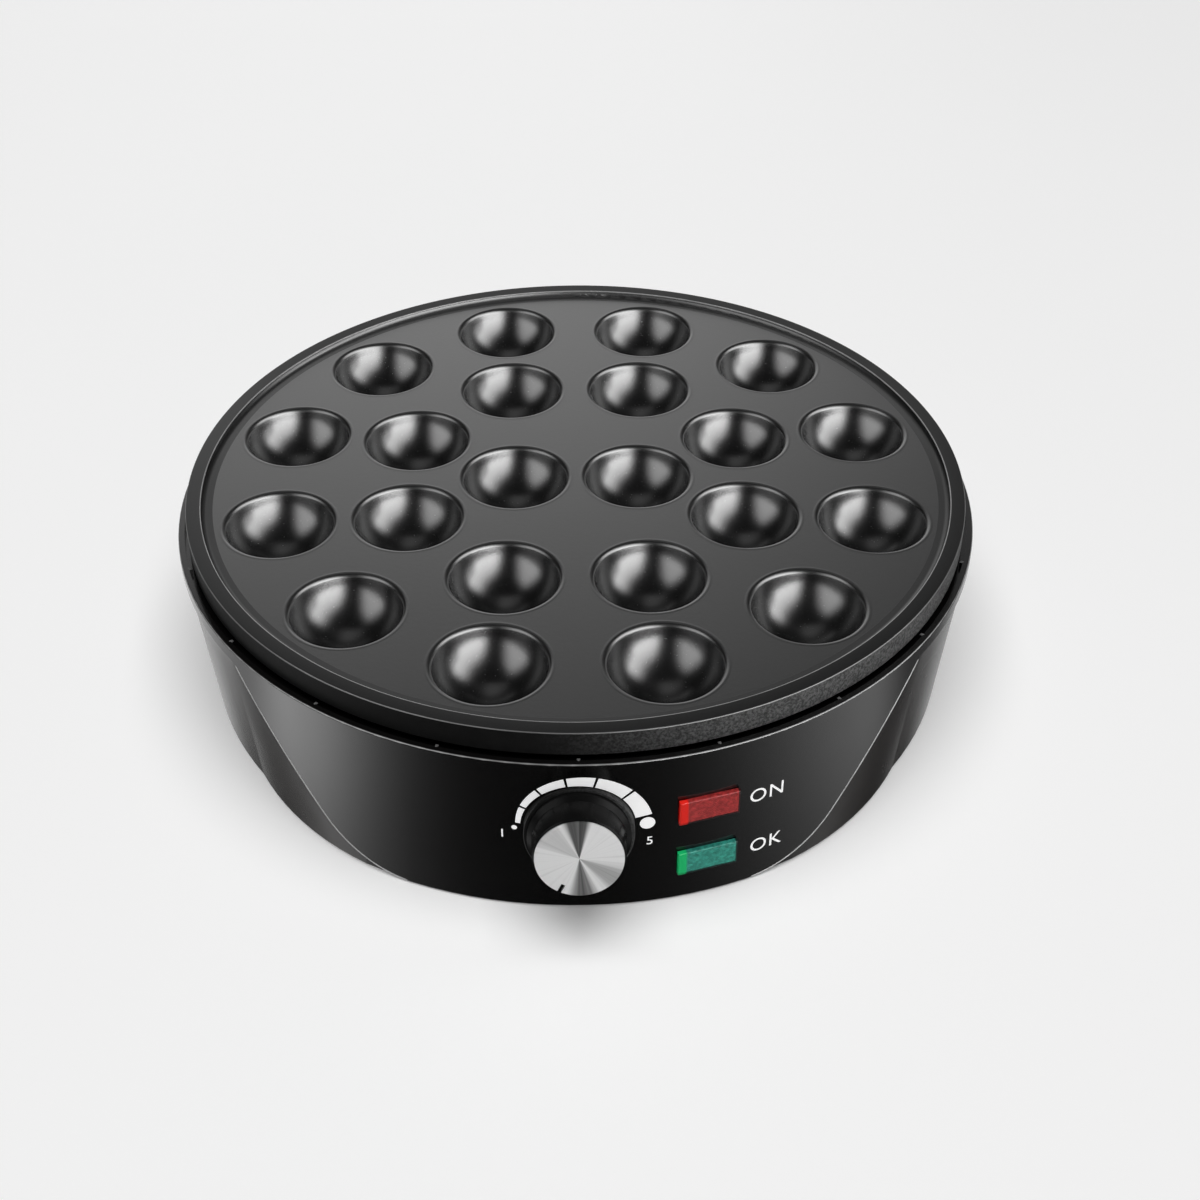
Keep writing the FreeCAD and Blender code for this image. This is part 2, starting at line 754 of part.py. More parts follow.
def make_collar(body):
    sketch = new_sketch(body, "collar_outline")
    outside = S["body_radius"]
    edge = S["collar_round"]
    corners = [
        (0, shelf_under),
        (S["side_top_radius"] - 1, shelf_under),
        (S["side_top_radius"] - 1, S["collar_bottom"]),
        (outside, S["collar_bottom"]),
        (outside, S["collar_top"] - edge),
        (outside - edge, S["collar_top"]),
        (0, S["collar_top"]),
    ]
    outline(sketch, corners, {4: (edge, 1)})
    return revolve(body, sketch, "collar")


def knob_seat(body):
    """Round seat on the front panel, square to the knob's tilted axis."""
    turn = Rotation(Vector(1, 0, 0), -float(S["knob_tilt"]))
    start = tilted(-S["seat_inner"]).Base
    sketch = new_sketch(body, "seat_outline", turn=turn, y=start.z, z=-start.y)
    circle(sketch, S["seat_radius"])
    return pad(body, sketch, "seat", S["seat_height"] + S["seat_inner"])


def hollow_body(body):
    """The cavity under the shelf, the well over it, and a groove that cores the ledge."""
    wall = S["body_wall"]
    wall_loft(body, "cavity", wall, body_bottom - 1, shelf_under, cut=True)
    corners = [
        (0, shelf_under - 1),
        (S["shelf_inside"], shelf_under - 1),
        (S["shelf_inside"], S["shelf_top"]),
        (S["ledge_inside"], S["shelf_top"]),
        (S["ledge_inside"], S["ledge_top"]),
        (S["collar_inside"], S["ledge_top"]),
        (S["collar_inside"], S["collar_top"] + 1),
        (0, S["collar_top"] + 1),
    ]
    revolve(body, outline(new_sketch(body, "well_outline"), corners), "well", cut=True)
    core = new_sketch(body, "core_outline")
    left, right = S["ledge_inside"] + wall, S["side_top_radius"] - wall - 0.6
    rectangle(core, left, shelf_under - 1, right, S["ledge_top"] - wall)
    revolve(body, core, "core", cut=True)


def make_body_shell():
    body = new_body("body_shell")
    panel_blank(body)
    trim_panels(body)
    wall_loft(body, "side_wall", as_size(0), body_bottom, S["collar_bottom"], cut=False)
    make_collar(body)
    hollow_body(body)
    knob_seat(body)
    tick = new_sketch(body, "tick_outline", "XY_Plane", z=S["ledge_top"])
    half = S["tick_width"] / 2
    rectangle(tick, -half, -S["collar_inside"] - 0.5, half, -S["tick_inside"])
    rib = pad(body, tick, "tick", S["collar_top"] - S["ledge_top"] - 0.4)
    ring_of(body, [rib], "ticks", S["tick_count"])
    cover_posts(body)
    shell_holes(body)


def cover_posts(body):
    """Posts for the cover screws, standing against the inside of the wall."""
    x, y = on_ring(S["cover_post_ring"], 45)
    outside = new_sketch(body, "cover_post_outline", "XY_Plane", z=cover_top)
    circle(outside, S["cover_post_radius"], x, y)
    post = pad(body, outside, "cover_post", S["cover_post_height"])
    ring_of(body, [post], "cover_posts", S["cover_post_count"])
    hole = new_sketch(body, "cover_hole_outline", "XY_Plane", z=cover_top)
    circle(hole, as_size(1.55), x, y)
    drill = pocket(body, hole, "cover_hole", 11, reverse=True)
    ring_of(body, [drill], "cover_holes", S["cover_post_count"])


def shell_holes(body):
    """Holes for the plate screws, the knob's bush, the lamps and the rear bushing."""
    hole = new_sketch(body, "shelf_hole_outline", "XY_Plane", z=shelf_under - 1)
    circle(hole, S["screw_radius"] + 0.4, S["boss_ring_radius"])
    drill = pocket(body, hole, "shelf_hole", S["shelf_thickness"] + 2, reverse=True)
    ring_of(body, [drill], "shelf_holes", S["plate_screw_count"])
    turn = Rotation(Vector(1, 0, 0), -float(S["knob_tilt"]))
    start = tilted(-12).Base
    bush = new_sketch(body, "bush_hole_outline", turn=turn, y=start.z, z=-start.y)
    circle(bush, S["bush_radius"] + 0.1)
    pocket(body, bush, "bush_hole", 20, reverse=True)
    lamp_windows(body)
    inlet = new_sketch(body, "inlet_outline", z=-S["body_radius"] - 2)
    circle(inlet, S["inlet_body_radius"] + 0.1, y=S["inlet_height"])
    pocket(body, inlet, "inlet_hole", 12, reverse=True)


def lamp_windows(body):
    """Rectangular windows for the two lenses, square to the wall at the lamp angle."""
    turn = Rotation(Vector(0, 1, 0), float(S["lamp_angle"]))
    half_width = S["lamp_width"] / 2 - 0.4
    half_height = S["lamp_height"] / 2 - 0.4
    start = ring_point(float(S["body_radius"]) - 8, -90 + float(S["lamp_angle"]), 0)
    for name in ("red", "green"):
        height = S[f"{name}_lamp_height"]
        sketch = new_sketch(body, f"{name}_window_outline", turn=turn, x=start.x, y=height, z=-start.y)
        rectangle(sketch, -half_width, -half_height, half_width, half_height)
        pocket(body, sketch, f"{name}_window", 12, reverse=True)


# ---- knob and thermostat -------------------------------------------------------------


def tilted_body(name, distance):
    """A body whose own +Z lies on the knob's axis, starting at a distance from the panel."""
    body = doc.addObject("PartDesign::Body", name)
    body.Label = name
    place = tilted(distance)
    place.Base = place.Base + Vector(0, float(S["axis_offset"]), 0)
    body.Placement = place
    sub_parts.append(body)
    return body


def make_control_knob():
    """Skirted knob, hollow behind, with a shallow recess for its disc."""
    gap = 0.3
    body = tilted_body("control_knob", float(S["seat_height"]) + gap)
    height = S["knob_reach"] - S["seat_height"] - gap
    skirt, grip = S["knob_radius"], S["knob_face_radius"] + 0.6
    corners = [
        (0, 3),
        (grip - 2.2, 3),
        (grip - 1.8, 0),
        (skirt, 0),
        (skirt, 1.6),
        (grip + 0.5, 3.2),
        (grip, height - 0.7),
        (grip - 0.4, height - 0.2),
        (S["knob_face_radius"], height - 0.2),
        (S["knob_face_radius"], height - 1.2),
        (0, height - 1.2),
    ]
    revolve(body, outline(new_sketch(body, "knob_outline"), corners), "knob")
    bore = new_sketch(body, "bore_outline", "XY_Plane")
    circle(bore, S["shaft_radius"] + 0.02)
    pocket(body, bore, "bore", height - 3, reverse=True)


def make_knob_face():
    body = tilted_body("knob_face", float(S["knob_reach"]) - 1.2)
    sketch = new_sketch(body, "disc_outline", "XY_Plane")
    circle(sketch, S["knob_face_radius"] - 0.05)
    pad(body, sketch, "disc", 1.2)
    turn = Rotation(Vector(0, 0, 1), -float(S["pointer_angle"]))
    notch = new_sketch(body, "pointer_outline", "XY_Plane", turn=turn)
    rectangle(notch, as_size(-0.7), S["knob_face_radius"] - 3.2, as_size(0.7), S["knob_face_radius"] + 1)
    pocket(body, notch, "pointer", 2, reverse=True)


def make_thermostat_shaft():
    """Steel shaft from inside the thermostat to the bottom of the knob's bore."""
    inner, outer = -24.0, float(S["knob_reach"]) - 3.4
    body = tilted_body("thermostat_shaft", inner)
    sketch = new_sketch(body, "shaft_outline", "XY_Plane")
    circle(sketch, S["shaft_radius"])
    pad(body, sketch, "shaft", outer - inner)


def make_thermostat_body():
    """Ceramic block with a threaded bush that passes through the panel and its seat."""
    body = tilted_body("thermostat_body", S["thermostat_rear"])
    block = new_sketch(body, "block_outline", "XY_Plane")
    rectangle(block, as_size(-13), as_size(-8), as_size(13), as_size(8))
    pad(body, block, "block", 20)
    contact = new_sketch(body, "contact_outline", "XY_Plane", z=6)
    rectangle(contact, as_size(-16), as_size(-5.5), as_size(16), as_size(5.5))
    pad(body, contact, "contact_blocks", 9)
    bush = new_sketch(body, "bush_outline", "XY_Plane", z=20)
    circle(bush, S["bush_radius"])
    pad(body, bush, "bush", -S["thermostat_rear"] - 20 + S["seat_height"] + 0.1)
    bore = new_sketch(body, "shaft_bore_outline", "XY_Plane", z=15)
    circle(bore, S["shaft_radius"] + S["shaft_play"])
    pocket(body, bore, "shaft_bore", 40, reverse=True)


def make_thermostat_nut():
    """Thin hexagon nut that pulls the bush against the inside of the panel."""
    body = tilted_body("thermostat_nut", -7.8)
    sketch = new_sketch(body, "nut_outline", "XY_Plane")
    across = as_size(8.0)
    rise = across * sine(60)
    half = across / 2
    corners = [(across, 0), (half, rise), (-half, rise), (-across, 0), (-half, -rise), (half, -rise)]
    outline(sketch, corners)
    pad(body, sketch, "nut", 2.6)
    bore = new_sketch(body, "nut_bore_outline", "XY_Plane")
    circle(bore, S["bush_radius"] + 0.05)
    pocket(body, bore, "nut_bore", 4, reverse=True)


BRACKET_SHEET = 1.2
BRACKET_SCREW_RADIUS = 1.4


def strap_place():
    """Rear face of the thermostat's block on its axis, as (y, z)."""
    base = tilted(S["thermostat_rear"]).Base
    return base.y, base.z


def bracket_screw_places():
    """Where the screw heads meet the underside of the bracket's flange."""
    y, _ = strap_place()
    return [Vector(x, y + 10, float(S["pan_floor"]) - BRACKET_SHEET) for x in (-4.5, 4.5)]


def make_thermostat_bracket():
    """Sheet strip that hangs the thermostat from the underside of the pan."""
    body = new_body("thermostat_bracket")
    sheet, flange = BRACKET_SHEET, 14.0
    lean = tangent(S["knob_tilt"])
    top = S["pan_floor"]
    y, z = (as_size(value) for value in strap_place())
    foot = z - 7
    front_top = y + (top - z) * lean
    front_foot = y + (foot - z) * lean
    corners = [
        (front_foot, foot),
        (front_foot + sheet, foot),
        (front_top + sheet, top - sheet),
        (front_top + flange, top - sheet),
        (front_top + flange, top),
        (front_top, top),
    ]
    sketch = new_sketch(body, "strap_outline", "YZ_Plane", z=as_size(-8))
    outline(sketch, corners)
    pad(body, sketch, "strap", 16)
    holes = new_sketch(body, "screw_hole_outline", "XY_Plane", z=top - sheet - 1)
    for place in bracket_screw_places():
        circle(holes, as_size(BRACKET_SCREW_RADIUS + 0.05), place.x, place.y)
    pocket(body, holes, "screw_holes", 3, reverse=True)


def make_bracket_screws():
    """Two screws that hold the bracket to the pan."""
    down = Vector(0, 0, -1)
    screw_set("bracket_screws", bracket_screw_places(), BRACKET_SCREW_RADIUS, 2.6, BRACKET_SHEET, 1.6, down)


# ---- signal lamps --------------------------------------------------------------------


def lamp_frame(height, depth):
    """Frame behind a lamp window: +Z points outwards, +Y up."""
    angle = -90 + float(S["lamp_angle"])
    base = ring_point(float(S["body_radius"]) - depth, angle, height)
    out = ring_point(1, angle, 0)
    up = Vector(0, 0, 1)
    base = base + Vector(0, float(S["axis_offset"]), 0)
    return Placement(base, Rotation(up.cross(out), up, out, "XYZ"))


def lamp_body(name, height, depth):
    body = doc.addObject("PartDesign::Body", name)
    body.Label = name
    body.Placement = lamp_frame(float(height), depth)
    sub_parts.append(body)
    return body


def plain_box(body, name, half_width, half_height, length, start=0):
    sketch = new_sketch(body, f"{name}_outline", "XY_Plane", z=start)
    half_width, half_height = as_size(half_width), as_size(half_height)
    rectangle(sketch, -half_width, -half_height, half_width, half_height)
    return pad(body, sketch, name, length)


def round_front(body, radius):
    """Rounds the edges of the face that lies furthest along the body's own +Z."""
    doc.recompute()
    base = body.Tip
    heights = [face.CenterOfMass.z for face in base.Shape.Faces]
    edge = body.newObject("PartDesign::Fillet", "soft_edges")
    edge.Base = (base, [f"Face{heights.index(max(heights)) + 1}"])
    edge.Radius = radius


def make_lamps():
    """For each lamp: a hollow lens in its window, a sleeve behind it and a neon bulb in the sleeve."""
    for name, colour in (("power", "red"), ("ready", "green")):
        height = S[f"{colour}_lamp_height"]
        lens = lamp_body(f"{name}_lamp_lens", height, 5.0)
        inner_width, inner_height = S["lamp_width"] / 2 - 0.5, S["lamp_height"] / 2 - 0.5
        plain_box(lens, "stem", inner_width, inner_height, 5.0)
        plain_box(lens, "face", S["lamp_width"] / 2, S["lamp_height"] / 2, S["lamp_proud"], start=5.0)
        hollow = new_sketch(lens, "hollow_outline", "XY_Plane")
        wide, high = inner_width - 1.4, inner_height - 1.4
        rectangle(hollow, -wide, -high, wide, high)
        pocket(lens, hollow, "hollow", 4.6, reverse=True)
        round_front(lens, 0.7)
        holder = lamp_body(f"{name}_lamp_holder", height, 14.0)
        plain_box(holder, "sleeve", inner_width + 0.6, inner_height + 0.4, 9.0)
        bore = new_sketch(holder, "sleeve_bore_outline", "XY_Plane", z=as_size(9.0))
        rectangle(bore, -wide, -high, wide, high)
        pocket(holder, bore, "sleeve_bore", 7.5)
        bulb = lamp_body(f"{name}_lamp_bulb", height, 12.5 - 2.4)
        glass = new_sketch(bulb, "glass_outline", "YZ_Plane", z=as_size(-7))
        circle(glass, as_size(2.4))
        pad(bulb, glass, "glass", 14)


# ---- base cover, feet and screws -----------------------------------------------------


def make_base_cover():
    """Floor plate with vents, set inside the foot of the wall."""
    body = new_body("base_cover")
    edge = wall_section(body, "cover_outline", S["cover_bottom"], foot_radii(), S["cover_inset"])
    pad(body, edge, "cover", S["cover_wall"])
    rim = new_sketch(body, "stiffener_outline")
    rectangle(rim, as_size(96), cover_top - 0.2, as_size(98), cover_top + 3)
    revolve(body, rim, "stiffener")
    slot = new_sketch(body, "slot_outline", "XY_Plane", z=S["cover_bottom"] - 1)
    rectangle(slot, as_size(52), as_size(-2), as_size(80), as_size(2))
    cut = pocket(body, slot, "slot", 5, reverse=True)
    ring_of(body, [cut], "slots", 16)
    for name, ring, radius in (
        ("screw", S["cover_post_ring"], 1.8),
        ("foot", S["foot_ring_radius"], 2.6),
    ):
        hole = new_sketch(body, f"{name}_hole_outline", "XY_Plane", z=S["cover_bottom"] - 1)
        x, y = on_ring(ring, 45)
        circle(hole, as_size(radius), x, y)
        drill = pocket(body, hole, f"{name}_hole", 5, reverse=True)
        ring_of(body, [drill], f"{name}_holes", as_size(4))


def make_feet():
    """Rubber feet with a barbed stem that is pushed through the base cover."""
    names = (("rear_right", 45), ("rear_left", 135), ("front_left", 225), ("front_right", 315))
    for name, angle in names:
        body = new_body(f"{name}_foot")
        x, y = on_ring(S["foot_ring_radius"], angle)
        radius = S["foot_radius"]
        sketch = new_sketch(body, f"{name}_outline", x=x, z=-y)
        corners = [
            (0, 0),
            (radius - 1.5, 0),
            (radius, 1.5),
            (radius, S["cover_bottom"]),
            (2.5, S["cover_bottom"]),
            (2.5, cover_top),
            (3.4, cover_top),
            (1.6, cover_top + 3),
            (0, cover_top + 3),
        ]
        revolve(body, outline(sketch, corners), "foot")


def make_cover_screws():
    """Screws that hold the base cover to the posts."""
    angles = (45, 135, 225, 315)
    places = [ring_point(S["cover_post_ring"], angle, S["cover_bottom"]) for angle in angles]
    screw_set("cover_screws", places, 1.5, 3.0, 11.0, 1.8, Vector(0, 0, -1))


# ---- wiring parts at the rear --------------------------------------------------------


def make_cord_bushing():
    """Moulded bushing that lines the cord's way through the rear panel."""
    body = new_body("cord_bushing")
    face = S["body_radius"]
    height = S["inlet_height"]
    inner_face = face - 3.7
    rings = (
        ("outer_flange", face + 2, 2, S["inlet_body_radius"] + 2.5),
        ("barrel", face + 0.5, 5, S["inlet_body_radius"]),
        ("inner_flange", inner_face, 2, S["inlet_body_radius"] + 1.8),
    )
    for name, start, length, radius in rings:
        sketch = new_sketch(body, f"{name}_outline", z=-start)
        circle(sketch, radius, y=height)
        pad(body, sketch, name, length)
    bore = new_sketch(body, "bore_outline", z=-face - 3)
    circle(bore, S["inlet_bore_radius"], y=height)
    pocket(body, bore, "bore", 16, reverse=True)


def terminal_ways():
    """Middle of each way of the terminal block, left to right."""
    return [(number - 1) * S["terminal_pitch"] for number in (as_size(value) for value in range(3))]


def make_terminal_block():
    """Three-way terminal block on the base cover behind the inlet."""
    body = new_body("terminal_block")
    face, depth, height = S["terminal_face"], S["terminal_depth"], 12.0
    half_width, half_way = S["terminal_width"] / 2, 4.0
    block = new_sketch(body, "block_outline", "XY_Plane", z=cover_top)
    rectangle(block, -half_width, face, half_width, face + depth)
    pad(body, block, "block", height)
    ways = new_sketch(body, "ways_outline", "XY_Plane", z=cover_top + 8)
    for middle in terminal_ways():
        rectangle(ways, middle - half_way, face + 2, middle + half_way, face + depth - 2)
    pocket(body, ways, "ways", 6, reverse=True)


def make_terminal_screws():
    """Slotted screw heads at the bottom of the ways."""
    middle_y = float(S["terminal_face"] + S["terminal_depth"] / 2)
    head_height, slot_depth, slot_width = 2.2, 0.8, 0.7
    pieces = []
    for number, middle in enumerate(terminal_ways(), start=1):
        place = Vector(float(middle), middle_y, float(cover_top) + 8.0)
        head = primitive("Cylinder", f"terminal_head_{number}", Placement(place, Rotation()), Radius=2.6)
        head.Height = head_height
        slot = doc.addObject("Part::Box", f"terminal_slot_{number}")
        slot.Length, slot.Width, slot.Height = 6, slot_width, 1
        corner = Vector(-3, -slot_width / 2, head_height - slot_depth)
        slot.Placement = Placement(place + corner, Rotation())
        pieces.append(cut_from(f"terminal_screw_{number}", head, slot))
    finish_part(compound("terminal_screws", pieces), "terminal_screws")


def make_thermal_fuse():
    """Axial cut-out held against the pan's underside by a sprung clip."""
    top = float(S["pan_floor"])
    radius, sheet = 2.0, 0.9
    middle = Vector(34, 60, top - radius)
    turn = Rotation(Vector(0, 1, 0), 90)
    pieces = []
    for name, thickness, length in (("fuse_barrel", radius, 14), ("fuse_wire", 0.6, 28)):
        start = Placement(middle - Vector(length / 2, 0, 0), turn)
        pieces.append(primitive("Cylinder", name, start, Radius=thickness, Height=length))
    finish_part(joined("thermal_fuse", pieces), "thermal_fuse")
    body = new_body("fuse_clip")
    inner, outer = radius + 0.1, radius + 0.1 + sheet
    low = middle.z - inner
    corners = [
        (middle.y - outer, top),
        (middle.y - outer, low - sheet),
        (middle.y + outer, low - sheet),
        (middle.y + outer, top - sheet),
        (middle.y + 11, top - sheet),
        (middle.y + 11, top),
        (middle.y + inner, top),
        (middle.y + inner, low),
        (middle.y - inner, low),
        (middle.y - inner, top),
    ]
    sketch = new_sketch(body, "clip_outline", "YZ_Plane", z=as_size(middle.x - 3))
    outline(sketch, [(as_size(y), as_size(z)) for y, z in corners])
    pad(body, sketch, "clip", 6)


# ---- internal leads ------------------------------------------------------------------


LEAD_RADIUS = 1.1
LEADS = {
    # rear terminal block, across the floor on the left, up to the thermostat
    "line_lead": (
        (-9.5, 112, 11), (-10, 99, 10), (-20, 76, 10), (-36, 46, 9), (-44, 8, 9),
        (-46, -32, 9), (-44, -70, 10), (-38, -98, 14), (-30, -114, 24), (-16, -119.4, 32.3),
    ),
    # thermostat, across the floor on the right, to the element's left tab
    "switched_lead": (
        (16, -119.4, 32.3), (30, -114, 24), (37, -98, 14), (40, -70, 10), (38, -30, 9),
        (26, 10, 9), (8, 42, 9), (-8, 66, 11), (-14.4, 84, 17), (-14.4, 90.8, 30.4),
    ),
    # terminal block to the thermal fuse
    "neutral_lead": (
        (9.5, 112, 11), (12, 99, 10), (28, 84, 11), (50, 72, 18), (64, 62, 30), (61, 60, 41), (48, 60, 44.4),
    ),
    # thermal fuse to the element's right tab
    "fused_lead": (
        (20, 60, 44.4), (10, 60, 43), (2, 64, 34), (4, 76, 24), (13, 86, 21), (14.4, 90.8, 30.4),
    ),
}


def lead_path(points):
    """Straight runs joined by tangent arcs, each as large as its two runs allow."""
    edges = []
    start = points[0]
    for before, corner, after in zip(points, points[1:], points[2:]):
        first, second = (corner - before), (after - corner)
        turn = first.getAngle(second)
        reach = 0.45 * min(first.Length, second.Length)
        into, out = Vector(first).normalize(), Vector(second).normalize()
        entry, leave = corner - into * reach, corner + out * reach
        radius = reach / math.tan(turn / 2)
        inward = (out - into).normalize()
        middle = corner + inward * (radius / math.cos(turn / 2) - radius)
        edges += [Part.LineSegment(start, entry).toShape(), Part.Arc(entry, middle, leave).toShape()]
        start = leave
    edges.append(Part.LineSegment(start, points[-1]).toShape())
    return Part.Wire(edges)


def make_leads():
    """Insulated leads between the terminal block, thermostat, fuse and element."""
    for name, route in LEADS.items():
        points = [Vector(*point) for point in route]
        path = lead_path(points)
        section = Part.Circle(points[0], points[1] - points[0], LEAD_RADIUS).toShape()
        shape = path.makePipeShell([Part.Wire([section])], True, False)
        expected = path.Length * math.pi * LEAD_RADIUS**2
        if abs(shape.Volume / expected - 1) > 0.01:
            raise RuntimeError(f"{name} is {shape.Volume:.0f} mm3 and should be {expected:.0f}")
        thing = doc.addObject("Part::Feature", name)
        thing.Shape = shape
        finish_part(thing, name)


# ---- build, check and write ----------------------------------------------------------


def check(thing):
    if any(word in state for state in thing.State for word in ("Invalid", "Error")):
        raise RuntimeError(f"{thing.Label}: {thing.State}")


def write_parts():
    os.makedirs("parts", exist_ok=True)
    doc.recompute()
    for thing in doc.Objects:
        check(thing)
    for thing in sub_parts:
        shape = thing.Shape
        if shape.isNull() or not shape.isValid() or not shape.Solids:
            raise RuntimeError(f"{thing.Label} has no valid solid")
        shape.exportStep(f"parts/{thing.Label}.step")
    print(f"{len(sub_parts)} sub-parts written")


make_cooking_plate()
make_cup_bowls()
make_heating_element()
make_element_terminals()
make_heat_reflector()
make_plate_spacers()
make_plate_screws()
make_body_shell()
make_control_knob()
make_knob_face()
make_thermostat_shaft()
make_thermostat_body()
make_thermostat_nut()
make_thermostat_bracket()
make_bracket_screws()
make_lamps()
make_base_cover()
make_feet()
make_cover_screws()
make_cord_bushing()
make_terminal_block()
make_terminal_screws()
make_thermal_fuse()
make_leads()
write_parts()
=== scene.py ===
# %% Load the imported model
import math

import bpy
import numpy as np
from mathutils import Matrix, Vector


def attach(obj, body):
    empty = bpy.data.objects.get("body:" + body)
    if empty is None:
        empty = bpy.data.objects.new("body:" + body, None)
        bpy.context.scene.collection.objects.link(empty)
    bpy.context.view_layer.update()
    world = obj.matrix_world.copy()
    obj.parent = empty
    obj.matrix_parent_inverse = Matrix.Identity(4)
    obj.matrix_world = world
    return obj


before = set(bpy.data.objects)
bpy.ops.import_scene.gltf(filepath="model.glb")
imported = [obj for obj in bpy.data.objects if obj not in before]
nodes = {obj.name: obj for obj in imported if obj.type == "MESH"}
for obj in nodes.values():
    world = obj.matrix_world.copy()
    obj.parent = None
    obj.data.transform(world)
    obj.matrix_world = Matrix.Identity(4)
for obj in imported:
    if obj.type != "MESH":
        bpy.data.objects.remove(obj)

# %% [markdown]
# # Dressing a takoyaki maker
#
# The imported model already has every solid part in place: the cast plate with its cups, the
# moulded body, the knob, the lamps and everything inside. This lesson gives each part the
# finish of the real thing, adds the printed dial and the other thin details, and lights it
# like a product on a pale table. Lengths are in metres, so small sizes are written in
# millimetres and multiplied by MM.

MM = 0.001
scene = bpy.context.scene
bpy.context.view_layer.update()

# The plate's axis stands a little behind the origin, because the knob reaches out at the front.
AXIS_Y = 8.2 * MM
WALL = 152.5 * MM  # radius of the front panel
PLATE_TOP = 73.8 * MM  # height of the flat cooking surface

# The knob leans back: OUT is the way its axis points, and UP is upwards in its face.
KNOB_TILT = math.radians(9.0)
KNOB_OUT = np.array([0.0, -math.cos(KNOB_TILT), math.sin(KNOB_TILT)])
KNOB_UP = np.array([0.0, math.sin(KNOB_TILT), math.cos(KNOB_TILT)])
KNOB_HEIGHT = 37.5 * MM
KNOB_SEAT = np.array([0.0, AXIS_Y - WALL, KNOB_HEIGHT])
KNOB_FACE = KNOB_SEAT + 16.3 * MM * KNOB_OUT

# %% [markdown]
# ## The camera
#
# The camera looks down at the plate from the front, at about 35 degrees. Its three axes are
# written as turns: the downward look first, then a small yaw and a small roll. The lens is a
# fairly long one. Its axis passes above the middle of the frame, and the vertical shift puts it
# there.

# %% Camera
LOOK_DOWN, YAW, ROLL = 0.6048, -0.01281, 0.00838  # radians
DISTANCE = 720.24 * MM  # from the camera to the middle of the flat
LENS, SENSOR, SHIFT = 55.79, 36.0, -0.1033  # focal length and sensor width in mm


def turn_about(axis, angle):
    """Rotation matrix about one of the camera's own axes: 0 right, 1 up, 2 forward."""
    c, s = math.cos(angle), math.sin(angle)
    a, b = ((1, 2), (2, 0), (0, 1))[axis]
    matrix = np.eye(3)
    matrix[a, a], matrix[a, b], matrix[b, a], matrix[b, b] = c, -s, s, c
    return matrix


forward = np.array([0.0, math.cos(LOOK_DOWN), -math.sin(LOOK_DOWN)])
right = np.array([1.0, 0.0, 0.0])
level_axes = np.array([right, np.cross(right, forward), forward])
axes = turn_about(2, ROLL) @ turn_about(1, YAW) @ level_axes
place = np.array([0.0, AXIS_Y, PLATE_TOP]) - forward * DISTANCE
camera = bpy.data.objects.new("camera", bpy.data.cameras.new("camera"))
scene.collection.objects.link(camera)
columns = np.column_stack([axes[0], axes[1], -axes[2], place])
camera.matrix_world = Matrix([*columns.tolist(), [0, 0, 0, 1]])
camera.data.lens, camera.data.sensor_width, camera.data.shift_y = LENS, SENSOR, SHIFT
scene.camera = camera
print("camera at", [round(v, 4) for v in place])

# %% [markdown]
# ## Shader sums in plain Python
#
# A finish is a graph of nodes, and most of its nodes do arithmetic. Wire wraps an output socket
# and overloads the operators, so that `0.3 + speckle * 0.1` adds its own Math nodes. Finish
# holds the graph of one material. Its node() makes any other kind of node: settings first, then
# the values or wires of its inputs.


# %% Wire: a socket that can be used in sums
class Wire:
    """One output of a node. Sums on wires and numbers become Math nodes."""

    def __init__(self, graph, socket):
        self.graph, self.socket = graph, socket

    def maths(self, operation, *others):
        return self.graph.node("Math", {"operation": operation}, dict(enumerate((self, *others))))

    def __add__(self, other):
        return self.maths("ADD", other)

    def __sub__(self, other):
        return self.maths("SUBTRACT", other)

    def __rsub__(self, other):
        return self.graph.node("Math", {"operation": "SUBTRACT"}, {0: other, 1: self})

    def __mul__(self, other):
        return self.maths("MULTIPLY", other)

    def __truediv__(self, other):
        return self.maths("DIVIDE", other)

    def __pow__(self, other):
        return self.maths("POWER", other)

    __radd__, __rmul__ = __add__, __mul__


# %% Graph and Finish: a node tree under construction
class Graph:
    """A node tree, with a short way to make each kind of node."""

    def __init__(self, tree, coordinates):
        self.tree = tree
        self.place = Wire(self, tree.nodes.new("ShaderNodeTexCoord").outputs[coordinates])

    def node(self, kind, settings=None, inputs=None, output=0):
        """Any other node: its settings are set first, then its inputs are given or linked."""
        made = self.tree.nodes.new(f"ShaderNode{kind}")
        for name, value in (settings or {}).items():
            setattr(made, name, value)
        for name, value in (inputs or {}).items():
            self.feed(made.inputs[name], value)
        return Wire(self, made.outputs[output])

    def feed(self, socket, value):
        """Links a wire to a socket, or sets the socket to a plain value."""
        if isinstance(value, Wire):
            self.tree.links.new(value.socket, socket)
        else:
            socket.default_value = value

    def noise(self, size, detail=3.0, roughness=0.5):
        """Noise whose largest lumps are about `size` metres across, from 0 to 1."""
        inputs = {"Vector": self.place, "Scale": 1 / size, "Detail": detail, "Roughness": roughness}
        return self.node("TexNoise", None, inputs)

    def streaks(self, value, scale, detail):
        """Noise that changes with one number alone, from 0 to 1."""
        inputs = {"W": value, "Scale": scale, "Detail": detail}
        return self.node("TexNoise", {"noise_dimensions": "1D"}, inputs)

    def band(self, value, low, high):
        """0 up to low, 1 from high on, and a soft step between; low may be the greater one."""
        inputs = {"Value": value, "From Min": low, "From Max": high}
        return self.node("MapRange", {"interpolation_type": "SMOOTHSTEP"}, inputs)

    def between(self, mask, first, second):
        """Colour that goes from first to second as the mask goes from 0 to 1."""
        return self.node("Mix", {"data_type": "RGBA"}, {0: mask, 6: first, 7: second}, output=2)

    def split(self, vector):
        """The x, y and z of a vector."""
        made = self.node("SeparateXYZ", None, {0: vector}).socket.node
        return [Wire(self, output) for output in made.outputs]


